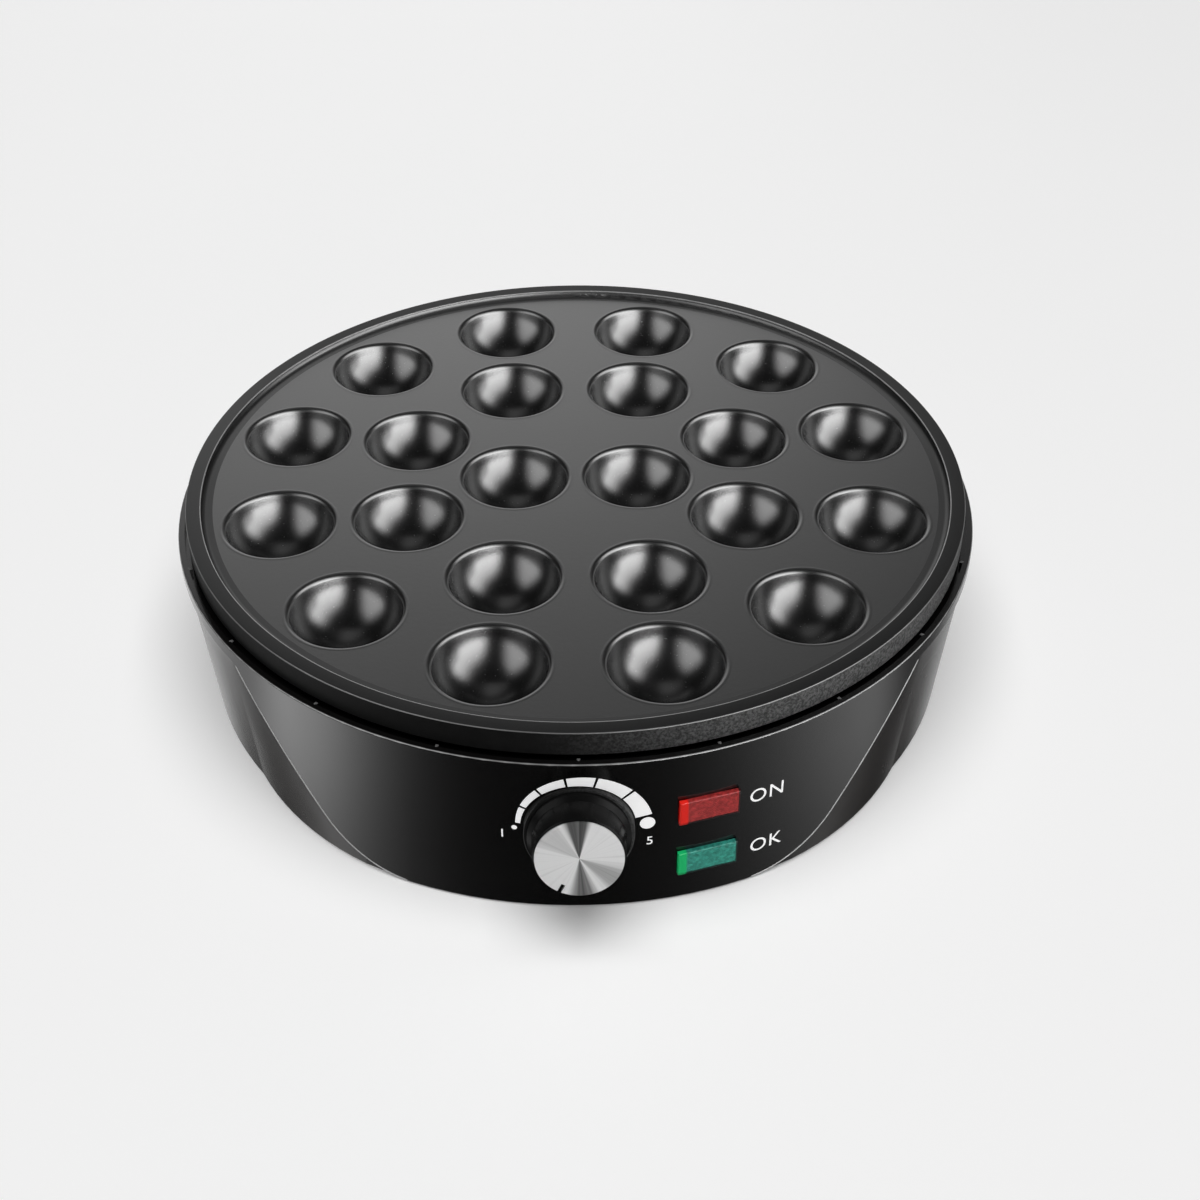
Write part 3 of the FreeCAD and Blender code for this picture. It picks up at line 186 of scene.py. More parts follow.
class Finish(Graph):
    """A material with a Principled surface. Constants go straight onto its sockets."""

    def __init__(self, name, **constants):
        self.material = bpy.data.materials.new(name)
        self.material.use_nodes = True
        super().__init__(self.material.node_tree, "Object")
        self.surface = self.tree.nodes["Principled BSDF"]
        self.drive(**constants)

    def drive(self, **values):
        for socket, value in values.items():
            self.feed(self.surface.inputs[socket.replace("_", " ")], value)

    def relief(self, height, depth, under=None):
        """Bump of `depth` metres for heights from 0 to 1, over another bump if there is one."""
        inputs = {"Height": height, "Distance": depth}
        if under is not None:
            inputs["Normal"] = under
        return self.node("Bump", None, inputs)

    def moved(self, offset=(0, 0, 0), turn=(0, 0, 0)):
        """Object coordinates with their zero at offset, then turned."""
        shifted = self.node("VectorMath", {"operation": "SUBTRACT"}, {0: self.place, 1: offset})
        return self.node("Mapping", {"vector_type": "POINT"}, {"Vector": shifted, "Rotation": turn})


def grey(value, alpha=1.0):
    return (value, value, value, alpha)


def wear(finish, *names):
    """Puts a finish on CAD nodes."""
    for name in names:
        nodes[name].data.materials.clear()
        nodes[name].data.materials.append(finish.material)


# %% [markdown]
# ## The cast plate
#
# The plate is cast aluminium with a satin black non-stick coating. The coating is sprayed and
# baked, so close up it has a fine orange-peel grain and tiny pale specks. It runs smoother where
# it pools in the bowls. One finish serves the plate and the bowls under it, and reads their
# common height, so the seam between them can't be seen.

# %% Non-stick coating
coating = Finish("nonstick_coating", Specular_IOR_Level=1.0, Coat_Roughness=0.22, Coat_IOR=1.5)
height = coating.split(coating.place)[2]
grain = coating.noise(0.35 * MM, detail=2.0)
peel = coating.noise(1.6 * MM, detail=2.0)
specks = coating.band(coating.noise(0.6 * MM, detail=1.0), 0.70, 0.78)
cloud = coating.noise(60 * MM, detail=3.0)
in_bowl = coating.band(height, 73.2 * MM, 71.5 * MM)
base = coating.between(cloud, grey(0.002), grey(0.004))
coating.drive(
    Base_Color=coating.between(specks * 0.5, base, grey(0.030)),
    Roughness=0.27 - in_bowl * 0.06 + cloud * 0.05 + specks * 0.05,
    Coat_Weight=(0.35 + cloud * 0.1) * (1 - in_bowl * 0.7),
    Normal=coating.relief(grain, 0.010 * MM, coating.relief(peel, 0.018 * MM)),
)
wear(coating, "cooking_plate", "inner_cups", "middle_cups", "outer_cups")

# %% [markdown]
# ## The moulded body
#
# The body is black heat-resistant plastic, softly polished in the mould: glossy enough to carry
# a long soft reflection. The collar's top corner has a thin grey line painted into its colour as
# a highlight, where the distance from the axis and the height add up to the most. The ledge
# under the plate is a little brown and dull from the heat.

# %% Body plastic
shell = Finish("body_moulding", Specular_IOR_Level=0.5, Coat_IOR=1.5, Coat_Roughness=0.08)
x, y, z = shell.split(shell.moved(offset=(0, AXIS_Y, 0)))
radius = (x * x + y * y) ** 0.5
cloud = shell.noise(45 * MM, detail=3.0)
fine = shell.noise(0.5 * MM, detail=2.0)
haze = shell.noise(9 * MM, detail=4.0, roughness=0.65)
# Painted highlight: a thin pale line on the collar's top corner.
top_corner_highlight = shell.band(radius + z, 218.00 * MM, 218.15 * MM)
heated = shell.band(radius, 151.9 * MM, 150.6 * MM) * shell.band(z, 61.2 * MM, 60.6 * MM)
base = shell.between(cloud, (0.0022, 0.0021, 0.0021, 1), (0.0034, 0.0032, 0.0031, 1))
base = shell.between(heated * 0.8, base, (0.026, 0.022, 0.020, 1))
shell.drive(
    Base_Color=shell.between(top_corner_highlight * 0.9, base, grey(0.30)),
    Roughness=0.14 + haze * 0.05 + heated * 0.10,
    Coat_Weight=0.25 - heated * 0.15,
    Normal=shell.relief(fine, 0.003 * MM),
)
wear(shell, "body_shell")

# %% [markdown]
# ## The knob
#
# The knob is a black phenolic moulding, matt enough to hide finger marks. It wears a soft haze
# and a fine grain, and hardly shines.

# %% Knob plastic
knob_finish = Finish("knob_moulding", Specular_IOR_Level=0.05)
fine = knob_finish.noise(0.4 * MM, detail=2.0)
haze = knob_finish.noise(6 * MM, detail=3.0)
knob_finish.drive(
    Base_Color=knob_finish.between(haze, grey(0.003), grey(0.005)),
    Roughness=0.22 + haze * 0.08,
    Normal=knob_finish.relief(fine, 0.006 * MM),
)
wear(knob_finish, "control_knob")

# %% [markdown]
# ## The disc in the knob
#
# A spun aluminium disc is pressed into the knob's face. Turning it on a lathe leaves fine
# concentric lines, and those gather the light into bright and dark wedges. A stretched shader
# highlight would make wedges too, but they would be lost when the finish is baked. So the wedges
# are painted reflection: darker colour, worked out from the angle round the disc, with faint
# painted spokes, and the lines are a fine relief.
# The Mapping node lays the disc's own plane flat: first its middle to zero, then its tilt away.

# %% Spun disc
disc = Finish("spun_aluminium", Specular_IOR_Level=0.5, Metallic=1.0)
flat_disc = disc.moved(offset=tuple(KNOB_FACE), turn=(-math.pi / 2 + KNOB_TILT, 0, 0))
across, up, _ = disc.split(flat_disc)
radius = (across * across + up * up) ** 0.5
rings = disc.streaks(radius, 1 / (0.09 * MM), 2.0)
cloud = disc.noise(5 * MM)
around = across.maths("ARCTAN2", up)  # 0 at the top, and half a turn at the bottom


def wedge(middle, inner, outer):
    """1 inside a wedge about the angle middle, 0 outside it, soft between inner and outer."""
    return disc.band((around - middle).maths("ABSOLUTE"), outer, inner)


# Painted reflection wedges: middle, half width of the dark core, half width with the soft edge,
# and darkness. The angle jumps by a whole turn at the bottom, so the wedge that lies across the
# jump is there twice.
PAINTED_WEDGES = (
    (-0.05, 0.18, 0.38, 0.90),
    (3.05, 0.12, 0.42, 0.82),
    (3.05 - 2 * math.pi, 0.12, 0.42, 0.82),
    (-0.85, 0.20, 0.50, 0.28),
    (2.15, 0.12, 0.48, 0.50),
)
# Painted reflection: each wedge darkens the metal's colour, and faint painted spokes vary it round
# the disc.
dark = [wedge(middle, core, edge) * depth for middle, core, edge, depth in PAINTED_WEDGES]
painted_spokes = disc.streaks(around, 9.0, 4.0)
shade = (sum(dark[1:], dark[0]) + (painted_spokes - 0.5) * 0.35).maths("MAXIMUM", 0.0)
metal = disc.between(rings, grey(0.80), grey(0.98))
disc.drive(
    Base_Color=disc.between(shade, metal, grey(0.03)),
    Roughness=0.36 + rings * 0.08 + cloud * 0.03,
    Normal=disc.relief(rings, 0.004 * MM),
)
wear(disc, "knob_face")

# %% [markdown]
# ## Plain parts
#
# The parts inside and underneath each get the finish of their stuff: plated steel, bright sheet,
# scorched steel, ceramic, nylon, brass, rubber and glass. One function makes a mottled finish
# from two colours and two roughnesses, with a relief of its own size.


# %% Finishes for the plain parts
def mottled(name, low, high, rough, lump, depth, **constants):
    """Colour from low to high and roughness over rough, on noise with lumps of one size."""
    finish = Finish(name, **constants)
    patch = finish.noise(lump, detail=4.0, roughness=0.6)
    fine = finish.noise(lump / 8, detail=2.0)
    finish.drive(
        Base_Color=finish.between(patch, (*low, 1), (*high, 1)),
        Roughness=rough[0] + patch * (rough[1] - rough[0]),
        Normal=finish.relief(fine, depth),
    )
    return finish


steel = mottled("plated_steel", (0.46, 0.46, 0.47), (0.62, 0.62, 0.61),
                (0.28, 0.42), 3 * MM, 0.004 * MM, Metallic=1.0)
sheath = mottled("scorched_steel", (0.10, 0.09, 0.08), (0.26, 0.22, 0.19),
                 (0.45, 0.62), 6 * MM, 0.01 * MM, Metallic=0.9)
bright = mottled("bright_sheet", (0.68, 0.69, 0.70), (0.80, 0.80, 0.80),
                 (0.22, 0.34), 20 * MM, 0.01 * MM, Metallic=1.0)
brass = mottled("brass", (0.60, 0.42, 0.16), (0.74, 0.54, 0.24),
                (0.25, 0.38), 2 * MM, 0.004 * MM, Metallic=1.0)
glass = mottled("bulb_glass", (0.85, 0.80, 0.74), (0.95, 0.90, 0.84),
                (0.04, 0.10), 3 * MM, 0.001 * MM, Transmission_Weight=0.9)
ceramic = mottled("ceramic", (0.70, 0.67, 0.61), (0.82, 0.79, 0.73),
                  (0.60, 0.80), 3 * MM, 0.02 * MM)
matt = mottled("matt_moulding", (0.016, 0.016, 0.017), (0.026, 0.025, 0.025),
               (0.48, 0.62), 4 * MM, 0.03 * MM)
rubber = mottled("foot_rubber", (0.020, 0.020, 0.020), (0.032, 0.031, 0.030),
                 (0.72, 0.85), 2 * MM, 0.03 * MM)
nylon = mottled("pale_nylon", (0.68, 0.66, 0.60), (0.76, 0.74, 0.68),
                (0.35, 0.45), 5 * MM, 0.01 * MM)
sleeve = mottled("lead_sleeve", (0.40, 0.39, 0.37), (0.52, 0.51, 0.49),
                 (0.50, 0.60), 3 * MM, 0.01 * MM)

# %% Which part gets which
sides = ("left", "right")
wear(steel, "plate_screws", "bracket_screws", "cover_screws", "fuse_clip")
wear(steel, "thermostat_shaft", "thermostat_nut", "thermostat_bracket")
wear(steel, *(f"element_terminal_{side}" for side in sides))
wear(sheath, "heating_element")
wear(bright, "heat_reflector")
wear(ceramic, "thermostat_body", *(f"element_seal_{side}" for side in sides))
wear(ceramic, *(f"plate_spacer_{number}" for number in range(1, 7)))
wear(matt, "base_cover", "cord_bushing", "power_lamp_holder", "ready_lamp_holder")
wear(rubber, *(f"{end}_{side}_foot" for end in ("front", "rear") for side in sides))
wear(nylon, "terminal_block", "thermal_fuse")
wear(brass, "terminal_screws")
wear(sleeve, "line_lead", "switched_lead", "neutral_lead", "fused_lead")
wear(glass, "power_lamp_bulb", "ready_lamp_bulb")
print("materials so far:", len(bpy.data.materials))

# %% [markdown]
# ## Surfaces from two numbers
#
# Every new piece here is a grid: a function takes two parameters as whole arrays and gives a
# point for each pair, and grid_faces() joins neighbouring points into quads. Most of them turn a
# profile about the plate's axis, which revolved() does.


# %% Grids
def show(name, mesh, finish):
    """Puts a mesh into the scene as a piece that rides on the still body."""
    mesh.materials.clear()
    mesh.materials.append(finish.material)
    piece = bpy.data.objects.new(name, mesh)
    scene.collection.objects.link(piece)
    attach(piece, "root")
    print(name, len(mesh.polygons), "faces")


def new_piece(name, points, faces, finish):
    """A smooth piece from an array of points and a list of faces."""
    mesh = bpy.data.meshes.new(name)
    mesh.from_pydata(points.reshape(-1, 3).tolist(), [], faces)
    mesh.polygons.foreach_set("use_smooth", np.ones(len(mesh.polygons), dtype=bool))
    show(name, mesh, finish)


def grid_faces(rows, columns, wrap=False):
    """Quads between neighbours of a grid counted row by row.

    With wrap, the last column is joined to the first, which closes the seam."""
    row, column = np.meshgrid(np.arange(rows - 1), np.arange(columns - (not wrap)), indexing="ij")
    after = (column + 1) % columns
    corners = (row * columns + column, row * columns + after, (row + 1) * columns + after)
    return np.stack([*corners, (row + 1) * columns + column], axis=-1).reshape(-1, 4)


def arc(centre, radius, start, end, count):
    """Points centre + radius * (cos, sin) as (distance, height), with angles in degrees.

    0 is straight outwards, and 90 is the way that the height grows."""
    turn = np.radians(np.linspace(start, end, count))
    return np.column_stack([centre[0] + radius * np.cos(turn), centre[1] + radius * np.sin(turn)])


def revolved(profile, steps, centre=(0.0, 0.0)):
    """Profile (distance, height) in mm turned about an upright line through centre, in mm.

    x = centre + distance * cos(turn), y = centre + distance * sin(turn), z = height. A profile
    that runs from the outside in has its faces pointing up, and one that runs up, outwards."""
    turn = np.arange(steps) * 2 * np.pi / steps
    distance, height = profile[:, :1], profile[:, 1:]
    x = centre[0] + distance * np.cos(turn)
    y = centre[1] + distance * np.sin(turn)
    return np.stack([x * MM, AXIS_Y + y * MM, (height + 0 * turn) * MM], axis=-1)


# %% [markdown]
# ## Lining of the cups
#
# The coating runs over each cup's lip and down into the bowl without a seam. One profile is
# turned about the middle of every cup: the rounded lip, then the bowl down to its lowest point.
# Bowls this glossy show every flat facet, so this lining is finer than the casting under it,
# and lies about a tenth of a millimetre inside it.


# %% Where the cups are
def cup_centres():
    """Two cups in the middle, then rings of 8 and 12: distance * (cos turn, sin turn), in mm."""
    rings = ((23.6, 0.0, 2), (68.4, 22.5, 8), (114.8, 15.0, 12))
    turn = np.radians(np.concatenate([start + np.arange(n) * 360 / n for _, start, n in rings]))
    reach = np.concatenate([np.full(n, distance) for distance, _, n in rings])
    return np.column_stack([reach * np.cos(turn), reach * np.sin(turn)])


centres = cup_centres()
print("cups:", len(centres))

# %% Cup linings
FLAT = PLATE_TOP / MM  # this cell works in mm
CUP, RISE = 20.7, 4.0  # radius of the bowl, and height of its centre over the flat
LIP = 1.8  # radius of the rounded lip
SKIN = 0.12  # how far the lining lies inside the casting
STEPS = 96
mouth = math.sqrt((CUP + LIP) ** 2 - (RISE + LIP) ** 2)  # distance at which the lip's centre lies
meet = math.degrees(math.atan2(RISE + LIP, mouth))  # slope at which lip and bowl meet
profile = np.concatenate([
    [(mouth + 0.9, FLAT - 0.02)],
    arc((mouth, FLAT - LIP), LIP + SKIN * 0.5, 90, 180 - meet, 9),
    arc((0, FLAT + RISE), CUP - SKIN, -meet, -89.6, 27)[1:],
])
cups = np.stack([revolved(profile, STEPS, centre) for centre in centres])
bottom = np.full(len(centres), (FLAT + RISE - CUP + SKIN) * MM)
lowest = np.column_stack([centres * MM + [0, AXIS_Y], bottom])

# The walls are quads. A fan of triangles closes each bowl at its lowest point.
size = len(profile) * STEPS
starts = np.arange(len(centres))[:, None, None] * size
walls = (grid_faces(len(profile), STEPS, wrap=True) + starts).reshape(-1, 4)
last = size - STEPS + np.arange(STEPS)
following = size - STEPS + (np.arange(STEPS) + 1) % STEPS
fans = np.stack([last, following, 0 * last], axis=-1) + starts
fans[:, :, 2] = len(centres) * size + np.arange(len(centres))[:, None]
points = np.concatenate([cups.reshape(-1, 3), lowest])
new_piece("cup_linings", points, walls.tolist() + fans.reshape(-1, 3).tolist(), coating)

# %% [markdown]
# ## The casting's sides
#
# The spray hardly reaches the skirt, so it stays matt and black. Towards the right front its
# colour is painted lighter grey, as painted light, in patches a millimetre or so across.

# %% Matt casting
matt_casting = Finish("matt_casting", Specular_IOR_Level=0.08)
streak = matt_casting.noise(4 * MM, detail=5.0, roughness=0.7)
grain = matt_casting.noise(0.5 * MM, detail=2.0)
x, y, _ = matt_casting.split(matt_casting.place)
# Painted light: towards the right front the skirt's colour turns lighter grey, in patches.
patch_noise = matt_casting.noise(1.1 * MM, detail=5.0, roughness=0.75)
lit_patches = matt_casting.band(patch_noise, 0.38, 0.64)
paler_tint = matt_casting.band(x - y * 0.35, 30 * MM, 120 * MM) * (0.25 + lit_patches * 0.75)
dark = matt_casting.between(streak, grey(0.002), grey(0.008))
matt_casting.drive(
    Base_Color=matt_casting.between(paler_tint, dark, grey(0.17)),
    Roughness=0.42 + streak * 0.2,
    Normal=matt_casting.relief(grain, 0.03 * MM),
)

# %% [markdown]
# ## The brim's finish
#
# The brim has the coating too. Its outer and its inner edge carry thin pale lines that are
# painted highlights in the colour, and only the step at the back keeps its full gloss. The outer
# edge is found as on the body, where distance and height add up to the most, and the inner one
# by its own place.

# %% Brim coating
brim_coating = Finish("brim_coating", Specular_IOR_Level=0.40, Coat_IOR=1.5, Coat_Roughness=0.22)
x, y, z = brim_coating.split(brim_coating.moved(offset=(0, AXIS_Y, 0)))
radius = (x * x + y * y) ** 0.5
specks = brim_coating.noise(0.9 * MM, detail=4.0, roughness=0.7)
line_strength = brim_coating.noise(14 * MM, detail=4.0, roughness=0.65)
# Painted highlights: thin pale lines along the brim's outer and inner edges, stronger in places.
outer_edge_highlight = brim_coating.band(radius + z, 224.45 * MM, 224.55 * MM)
near_step = brim_coating.band(radius, 143.45 * MM, 143.30 * MM)
inner_edge_highlight = near_step * brim_coating.band(z, 75.7 * MM, 75.9 * MM)
inside = brim_coating.band(radius, 143.4 * MM, 143.2 * MM)
behind = inside * brim_coating.band(y, -20 * MM, 90 * MM)
painted_edge_lines = (outer_edge_highlight * 0.8 + inner_edge_highlight * 1.8) * (0.15 + line_strength * 0.3)
base = brim_coating.between(specks, grey(0.002), grey(0.008))
brim_coating.drive(
    Base_Color=brim_coating.between(painted_edge_lines, base, grey(0.5)),
    Roughness=0.28 + specks * 0.06 + brim_coating.band(y, 20 * MM, 120 * MM) * 0.25,
    Coat_Weight=outer_edge_highlight * 0.3 + behind,
    Normal=brim_coating.relief(specks, 0.006 * MM),
)

# %% [markdown]
# ## Step, brim and skirt
#
# Round the flat, the casting steps up in a hollow curve to a small sharp lip, runs out as a flat
# brim, rounds over and hangs down as a skirt. Each is a profile in (distance, height) turned
# about the plate's axis, in 720 steps, because the brim's line is long and every kink shows.

# %% Step, brim and skirt
ROUND = 720
BRIM_TOP = 76.21
step_profile = np.concatenate([
    [(143.4, BRIM_TOP)],
    arc((143.2, 76.0), 0.2, 90, 180, 7),
    arc((140.85, 76.1), 2.15, -5, -90, 13),
    [(138.0, 73.74)],
])
brim_profile = np.concatenate([arc((148.14, 75.71), 0.5, 0, 90, 9), [(143.4, BRIM_TOP)]])
skirt_profile = np.array([(148.62, 67.0), (148.64, 69.0), (148.64, 72.0), (148.64, 75.7)])
for name, profile, finish in (
    ("plate_step", step_profile, brim_coating),
    ("plate_brim", brim_profile, brim_coating),
    ("plate_skirt", skirt_profile, matt_casting),
):
    faces = grid_faces(len(profile), ROUND, wrap=True)
    new_piece(name, revolved(profile, ROUND), faces.tolist(), finish)

# %% [markdown]
# ## Edges of the panels
#
# Front and rear, the body has a panel that stands out from its sides, with a slanted edge and a
# large round corner at its foot. A moulded edge is never quite sharp: it has a fine roll that
# takes the light, and its pale grey colour is a painted highlight. The roll is a thin round
# profile carried along the edge's path on the drum, sunk in so that only a sliver of it stands
# out.

# %% Panel edge highlight
# Painted highlight: the roll's colour is pale grey, so that the edge shows as a light line.
roll_highlight = Finish("panel_edge_highlight", Specular_IOR_Level=0.5)
wander = roll_highlight.noise(7 * MM, detail=4.0, roughness=0.65)
roll_highlight.drive(
    Base_Color=roll_highlight.between(wander, grey(0.30), grey(0.60)),
    Roughness=0.30 + wander * 0.15,
    Normal=roll_highlight.relief(roll_highlight.noise(0.6 * MM), 0.01 * MM),
)

# %% Panel edges
# All in mm, as (across, height): the slanted line's ends, and the corner's centre and radius.
EDGE_TOP, EDGE_TURN = (120.0, 61.0), (88.58, 16.78)
CORNER, CORNER_ROUND, SLANT = (57.61, 38.8), 38.0, -35.4
ROLL_RADIUS, ROLL_SUNK = 0.36 * MM, 0.20 * MM
RING = 12  # points round the roll


def edge_roll(side, end):
    """Round profile carried along a panel's edge; side is right or left, end front or rear.

    The path (across, height) runs down the slanted line, then round the corner's arc, and lies
    on the drum: depth = sqrt(wall^2 - across^2). The ring of radius r about it is
    centre + r * (out * cos(turn) + beside * sin(turn)), with out square to the drum."""
    line = np.linspace(EDGE_TOP, EDGE_TURN, 40)[:-1]
    path = np.concatenate([line, arc(CORNER, CORNER_ROUND, SLANT, -88, 30)])
    across, height = side * path[:, 0] * MM, path[:, 1] * MM
    depth = -end * np.sqrt(WALL**2 - across**2)
    places = np.column_stack([across, depth, height])
    out = np.column_stack([across, depth, 0 * height]) / WALL
    along = np.gradient(places, axis=0)
    along /= np.linalg.norm(along, axis=1)[:, None]
    beside = np.cross(along, out)
    away = beside * np.sign(beside @ [side, 0, 0])[:, None]
    centre = places - ROLL_SUNK * (out + away) + [0, AXIS_Y, 0]
    share = np.linspace(-1, 1, len(path))
    radius = ROLL_RADIUS * np.sqrt(1.0001 - share**40)  # closes at both ends
    turn = np.arange(RING) * 2 * np.pi / RING
    ring = out[:, None] * np.cos(turn)[:, None] + beside[:, None] * np.sin(turn)[:, None]
    return centre[:, None] + radius[:, None, None] * ring


rolls = np.stack([edge_roll(side, end) for side in (1, -1) for end in (1, -1)])
roll_faces = grid_faces(rolls.shape[1], RING, wrap=True)
starts = np.arange(4)[:, None, None] * rolls.shape[1] * RING
new_piece("panel_edges", rolls, (roll_faces + starts).reshape(-1, 4).tolist(), roll_highlight)

# %% [markdown]
# ## Tips of the centring ribs
#
# Twenty small ribs inside the collar keep the plate central. Their tips are coloured pale grey,
# so each shows in the dark gap as a small grey tick. A tip is a rounded bump: the root of the
# product of two half waves, one along and one across the rib.


# %% Rib tips
RIBS, TIP_GRID = 20, 9


def rib_tip(angle):
    """Bump on a rib: height = 0.38 * sqrt(sin(pi u) * sin(pi v)) over its length and width."""
    shares = np.linspace(0, 1, TIP_GRID)
    u, v = np.meshgrid(shares, shares, indexing="ij")
    distance, across = (149.05 + 1.9 * u) * MM, (v - 0.5) * 1.15 * MM
    height = (65.72 + 0.38 * np.sqrt(np.sin(math.pi * u) * np.sin(math.pi * v) + 1e-9)) * MM
    x = distance * math.cos(angle) - across * math.sin(angle)
    y = distance * math.sin(angle) + across * math.cos(angle)
    return np.stack([x, AXIS_Y + y, height], axis=-1)


tip_grey = mottled("grey_rib_tips", 3 * (0.09,), 3 * (0.14,), (0.45, 0.60), 1 * MM, 0.004 * MM,
                   Specular_IOR_Level=0.2)
tips = np.stack([rib_tip(angle) for angle in np.radians(np.arange(RIBS) * 360 / RIBS - 90)])
starts = np.arange(RIBS)[:, None, None] * TIP_GRID**2
tip_faces = grid_faces(TIP_GRID, TIP_GRID) + starts
new_piece("rib_tips", tips, tip_faces.reshape(-1, 4).tolist(), tip_grey)

# %% [markdown]
# ## The knob's seat
#
# The knob turns against a round seat that is square to its own tilted axis. The mould is left
# unpolished there, because the knob would scratch a polished face: a matt black ring. It is a
# profile (radius, height over the wall) turned about the knob's axis, so the point is
# seat + radius * (cos * right + sin * up) + height * out.

# %% Seat
TURNS = 180
seat_corner = arc((17.98, 2.98), 0.5, 0, 90, 9)
seat_profile = np.concatenate([[(18.48, -6.0)], seat_corner, [(16.0, 3.48)]]) * MM
turn = np.arange(TURNS) * 2 * np.pi / TURNS
spoke = np.outer(np.cos(turn), [1, 0, 0]) + np.outer(np.sin(turn), KNOB_UP)
seat_points = KNOB_SEAT + seat_profile[:, :1, None] * spoke
seat_points = seat_points + seat_profile[:, 1:, None] * KNOB_OUT
seat_faces = grid_faces(len(seat_profile), TURNS, wrap=True)
new_piece("knob_seat", seat_points, seat_faces.tolist(), matt_casting)

# %% [markdown]
# ## Printing on a round wall
#
# A pad print wraps onto the panel without stretching, so a length along the flat artwork is the
# same length round the wall. Dividing it by the wall's radius gives the angle.


# %% The bend onto the wall
def on_wall(along, height, proud):
    """Point of the panel: angle = along / WALL from the front, and reach = WALL + proud."""
    angle = along / WALL
    reach = WALL + proud
    return np.stack([reach * np.sin(angle), AXIS_Y - reach * np.cos(angle), height], axis=-1)


# %% [markdown]
# ## The printed dial
#
# The dial is white ink: six segments of an arc over the knob that grow wider towards the hot
# end, and a dot at each end. A segment is a patch in polar coordinates about the knob, with the
# angle as u and the distance from the knob's centre as v, bent onto the wall. It stands a
# twentieth of a millimetre proud, as thick ink does.

# %% White ink
# The ink also glows a little: painted brightness, so that it reads white.
ink = Finish("white_ink", Specular_IOR_Level=0.4, Emission_Color=grey(1.0), Emission_Strength=0.35)
patchy = ink.noise(0.8 * MM, detail=3.0)
ink.drive(
    Base_Color=ink.between(patchy, grey(0.80), grey(0.90)),
    Roughness=0.42 + patchy * 0.12,
    Normal=ink.relief(patchy, 0.008 * MM),
)
INK = 0.06 * MM  # how far ink stands off the wall

# %% Segments and dots
DIAL_ALONG = -0.3 * MM
PER_ARC, PER_DOT, ACROSS = 15, 32, 4  # points along a segment, round a dot, and across both


def dial_place(angle, distance):
    """(along, height) on the wall, from a clockwise angle in degrees from the top of the knob."""
    turn = np.radians(angle)
    return DIAL_ALONG + distance * np.sin(turn), KNOB_HEIGHT + distance * np.cos(turn)


def arc_segment(start, end):
    """Patch between an inner circle and an outer edge that moves out by 4.1 mm along the arc."""
    angles, shares = np.linspace(start, end, PER_ARC), np.linspace(0, 1, ACROSS)
    u, v = np.meshgrid(angles, shares, indexing="ij")
    inner = 19.3 * MM
    outer = (20.9 + 4.1 * (u + 88) / 168) * MM
    points = on_wall(*dial_place(u, inner + (outer - inner) * v), INK)
    return points.reshape(-1, 3), grid_faces(PER_ARC, ACROSS)[:, ::-1]


def dot(angle, distance, size):
    """Disc of rings (size * v * cos u, size * v * sin u), with one point in the middle."""
    shares, turns = np.linspace(0.25, 1, ACROSS), np.arange(PER_DOT) * 2 * np.pi / PER_DOT
    v, u = np.meshgrid(shares, turns, indexing="ij")
    along, height = dial_place(angle, distance)
    rings = on_wall(along + size * v * np.cos(u), height + size * v * np.sin(u), INK)
    middle = on_wall(along, height, INK)
    this = np.arange(0, PER_DOT, 2)
    hub = np.full(len(this), ACROSS * PER_DOT)
    fan = np.stack([hub, this, this + 1, (this + 2) % PER_DOT], axis=1)
    faces = np.concatenate([grid_faces(ACROSS, PER_DOT, wrap=True)[:, ::-1], fan])
    return np.concatenate([rings.reshape(-1, 3), middle[None]]), faces


# %% Dial arc
STOPS = (-86.5, -64.2, -38.8, -10.9, 15.7, 48.9, 80.6)  # where one segment gives way to the next
HALF_GAP = 1.15
patches = [arc_segment(a + HALF_GAP, b - HALF_GAP) for a, b in zip(STOPS, STOPS[1:])]
patches += [dot(-91.5, 21.3 * MM, 0.95 * MM), dot(88.5, 23.1 * MM, 2.6 * MM)]
starts = np.cumsum([0] + [len(points) for points, _ in patches])
points = np.concatenate([points for points, _ in patches])
faces = np.concatenate([faces + start for (_, faces), start in zip(patches, starts)])
new_piece("dial_arc", points, faces.tolist(), ink)

# %% [markdown]
# ## Numerals and lamp signs
#
# Plain numerals mark the ends of the dial and a plain sign stands beside each lamp. Blender's own
# typeface gives the outline. The text is made a mesh, and its flat coordinates are then bent onto
# the wall like the arc.


# %% Printed signs
def print_sign(name, text, along, baseline, height, spacing=1.0):
    """Text `height` tall with its lower left corner at (along, baseline) on the wall."""
    curve = bpy.data.curves.new(name, "FONT")
    curve.body, curve.space_character = text, spacing
    curve.resolution_u = 6
    maker = bpy.data.objects.new(name + "_flat", curve)
    scene.collection.objects.link(maker)
    bpy.context.view_layer.update()
    mesh = bpy.data.meshes.new_from_object(maker)
    bpy.data.objects.remove(maker)
    flat = np.empty(len(mesh.vertices) * 3)
    mesh.vertices.foreach_get("co", flat)
    flat = flat.reshape(-1, 3)
    flat -= flat.min(axis=0)
    flat *= height / flat[:, 1].max()
    mesh.vertices.foreach_set("co", on_wall(along + flat[:, 0], baseline + flat[:, 1], INK).ravel())
    mesh.name = name
    show(name, mesh, ink)


NUMERAL, SIGN = 3.6 * MM, 5.8 * MM  # heights of the two sizes of type
print_sign("low_numeral", "1", -26.0 * MM, 32.0 * MM, NUMERAL)
print_sign("high_numeral", "5", 22.6 * MM, 28.0 * MM, NUMERAL)
print_sign("power_sign", "ON", 59.0 * MM, 37.0 * MM, SIGN, spacing=1.1)
print_sign("ready_sign", "OK", 60.2 * MM, 13.2 * MM, SIGN, spacing=1.1)

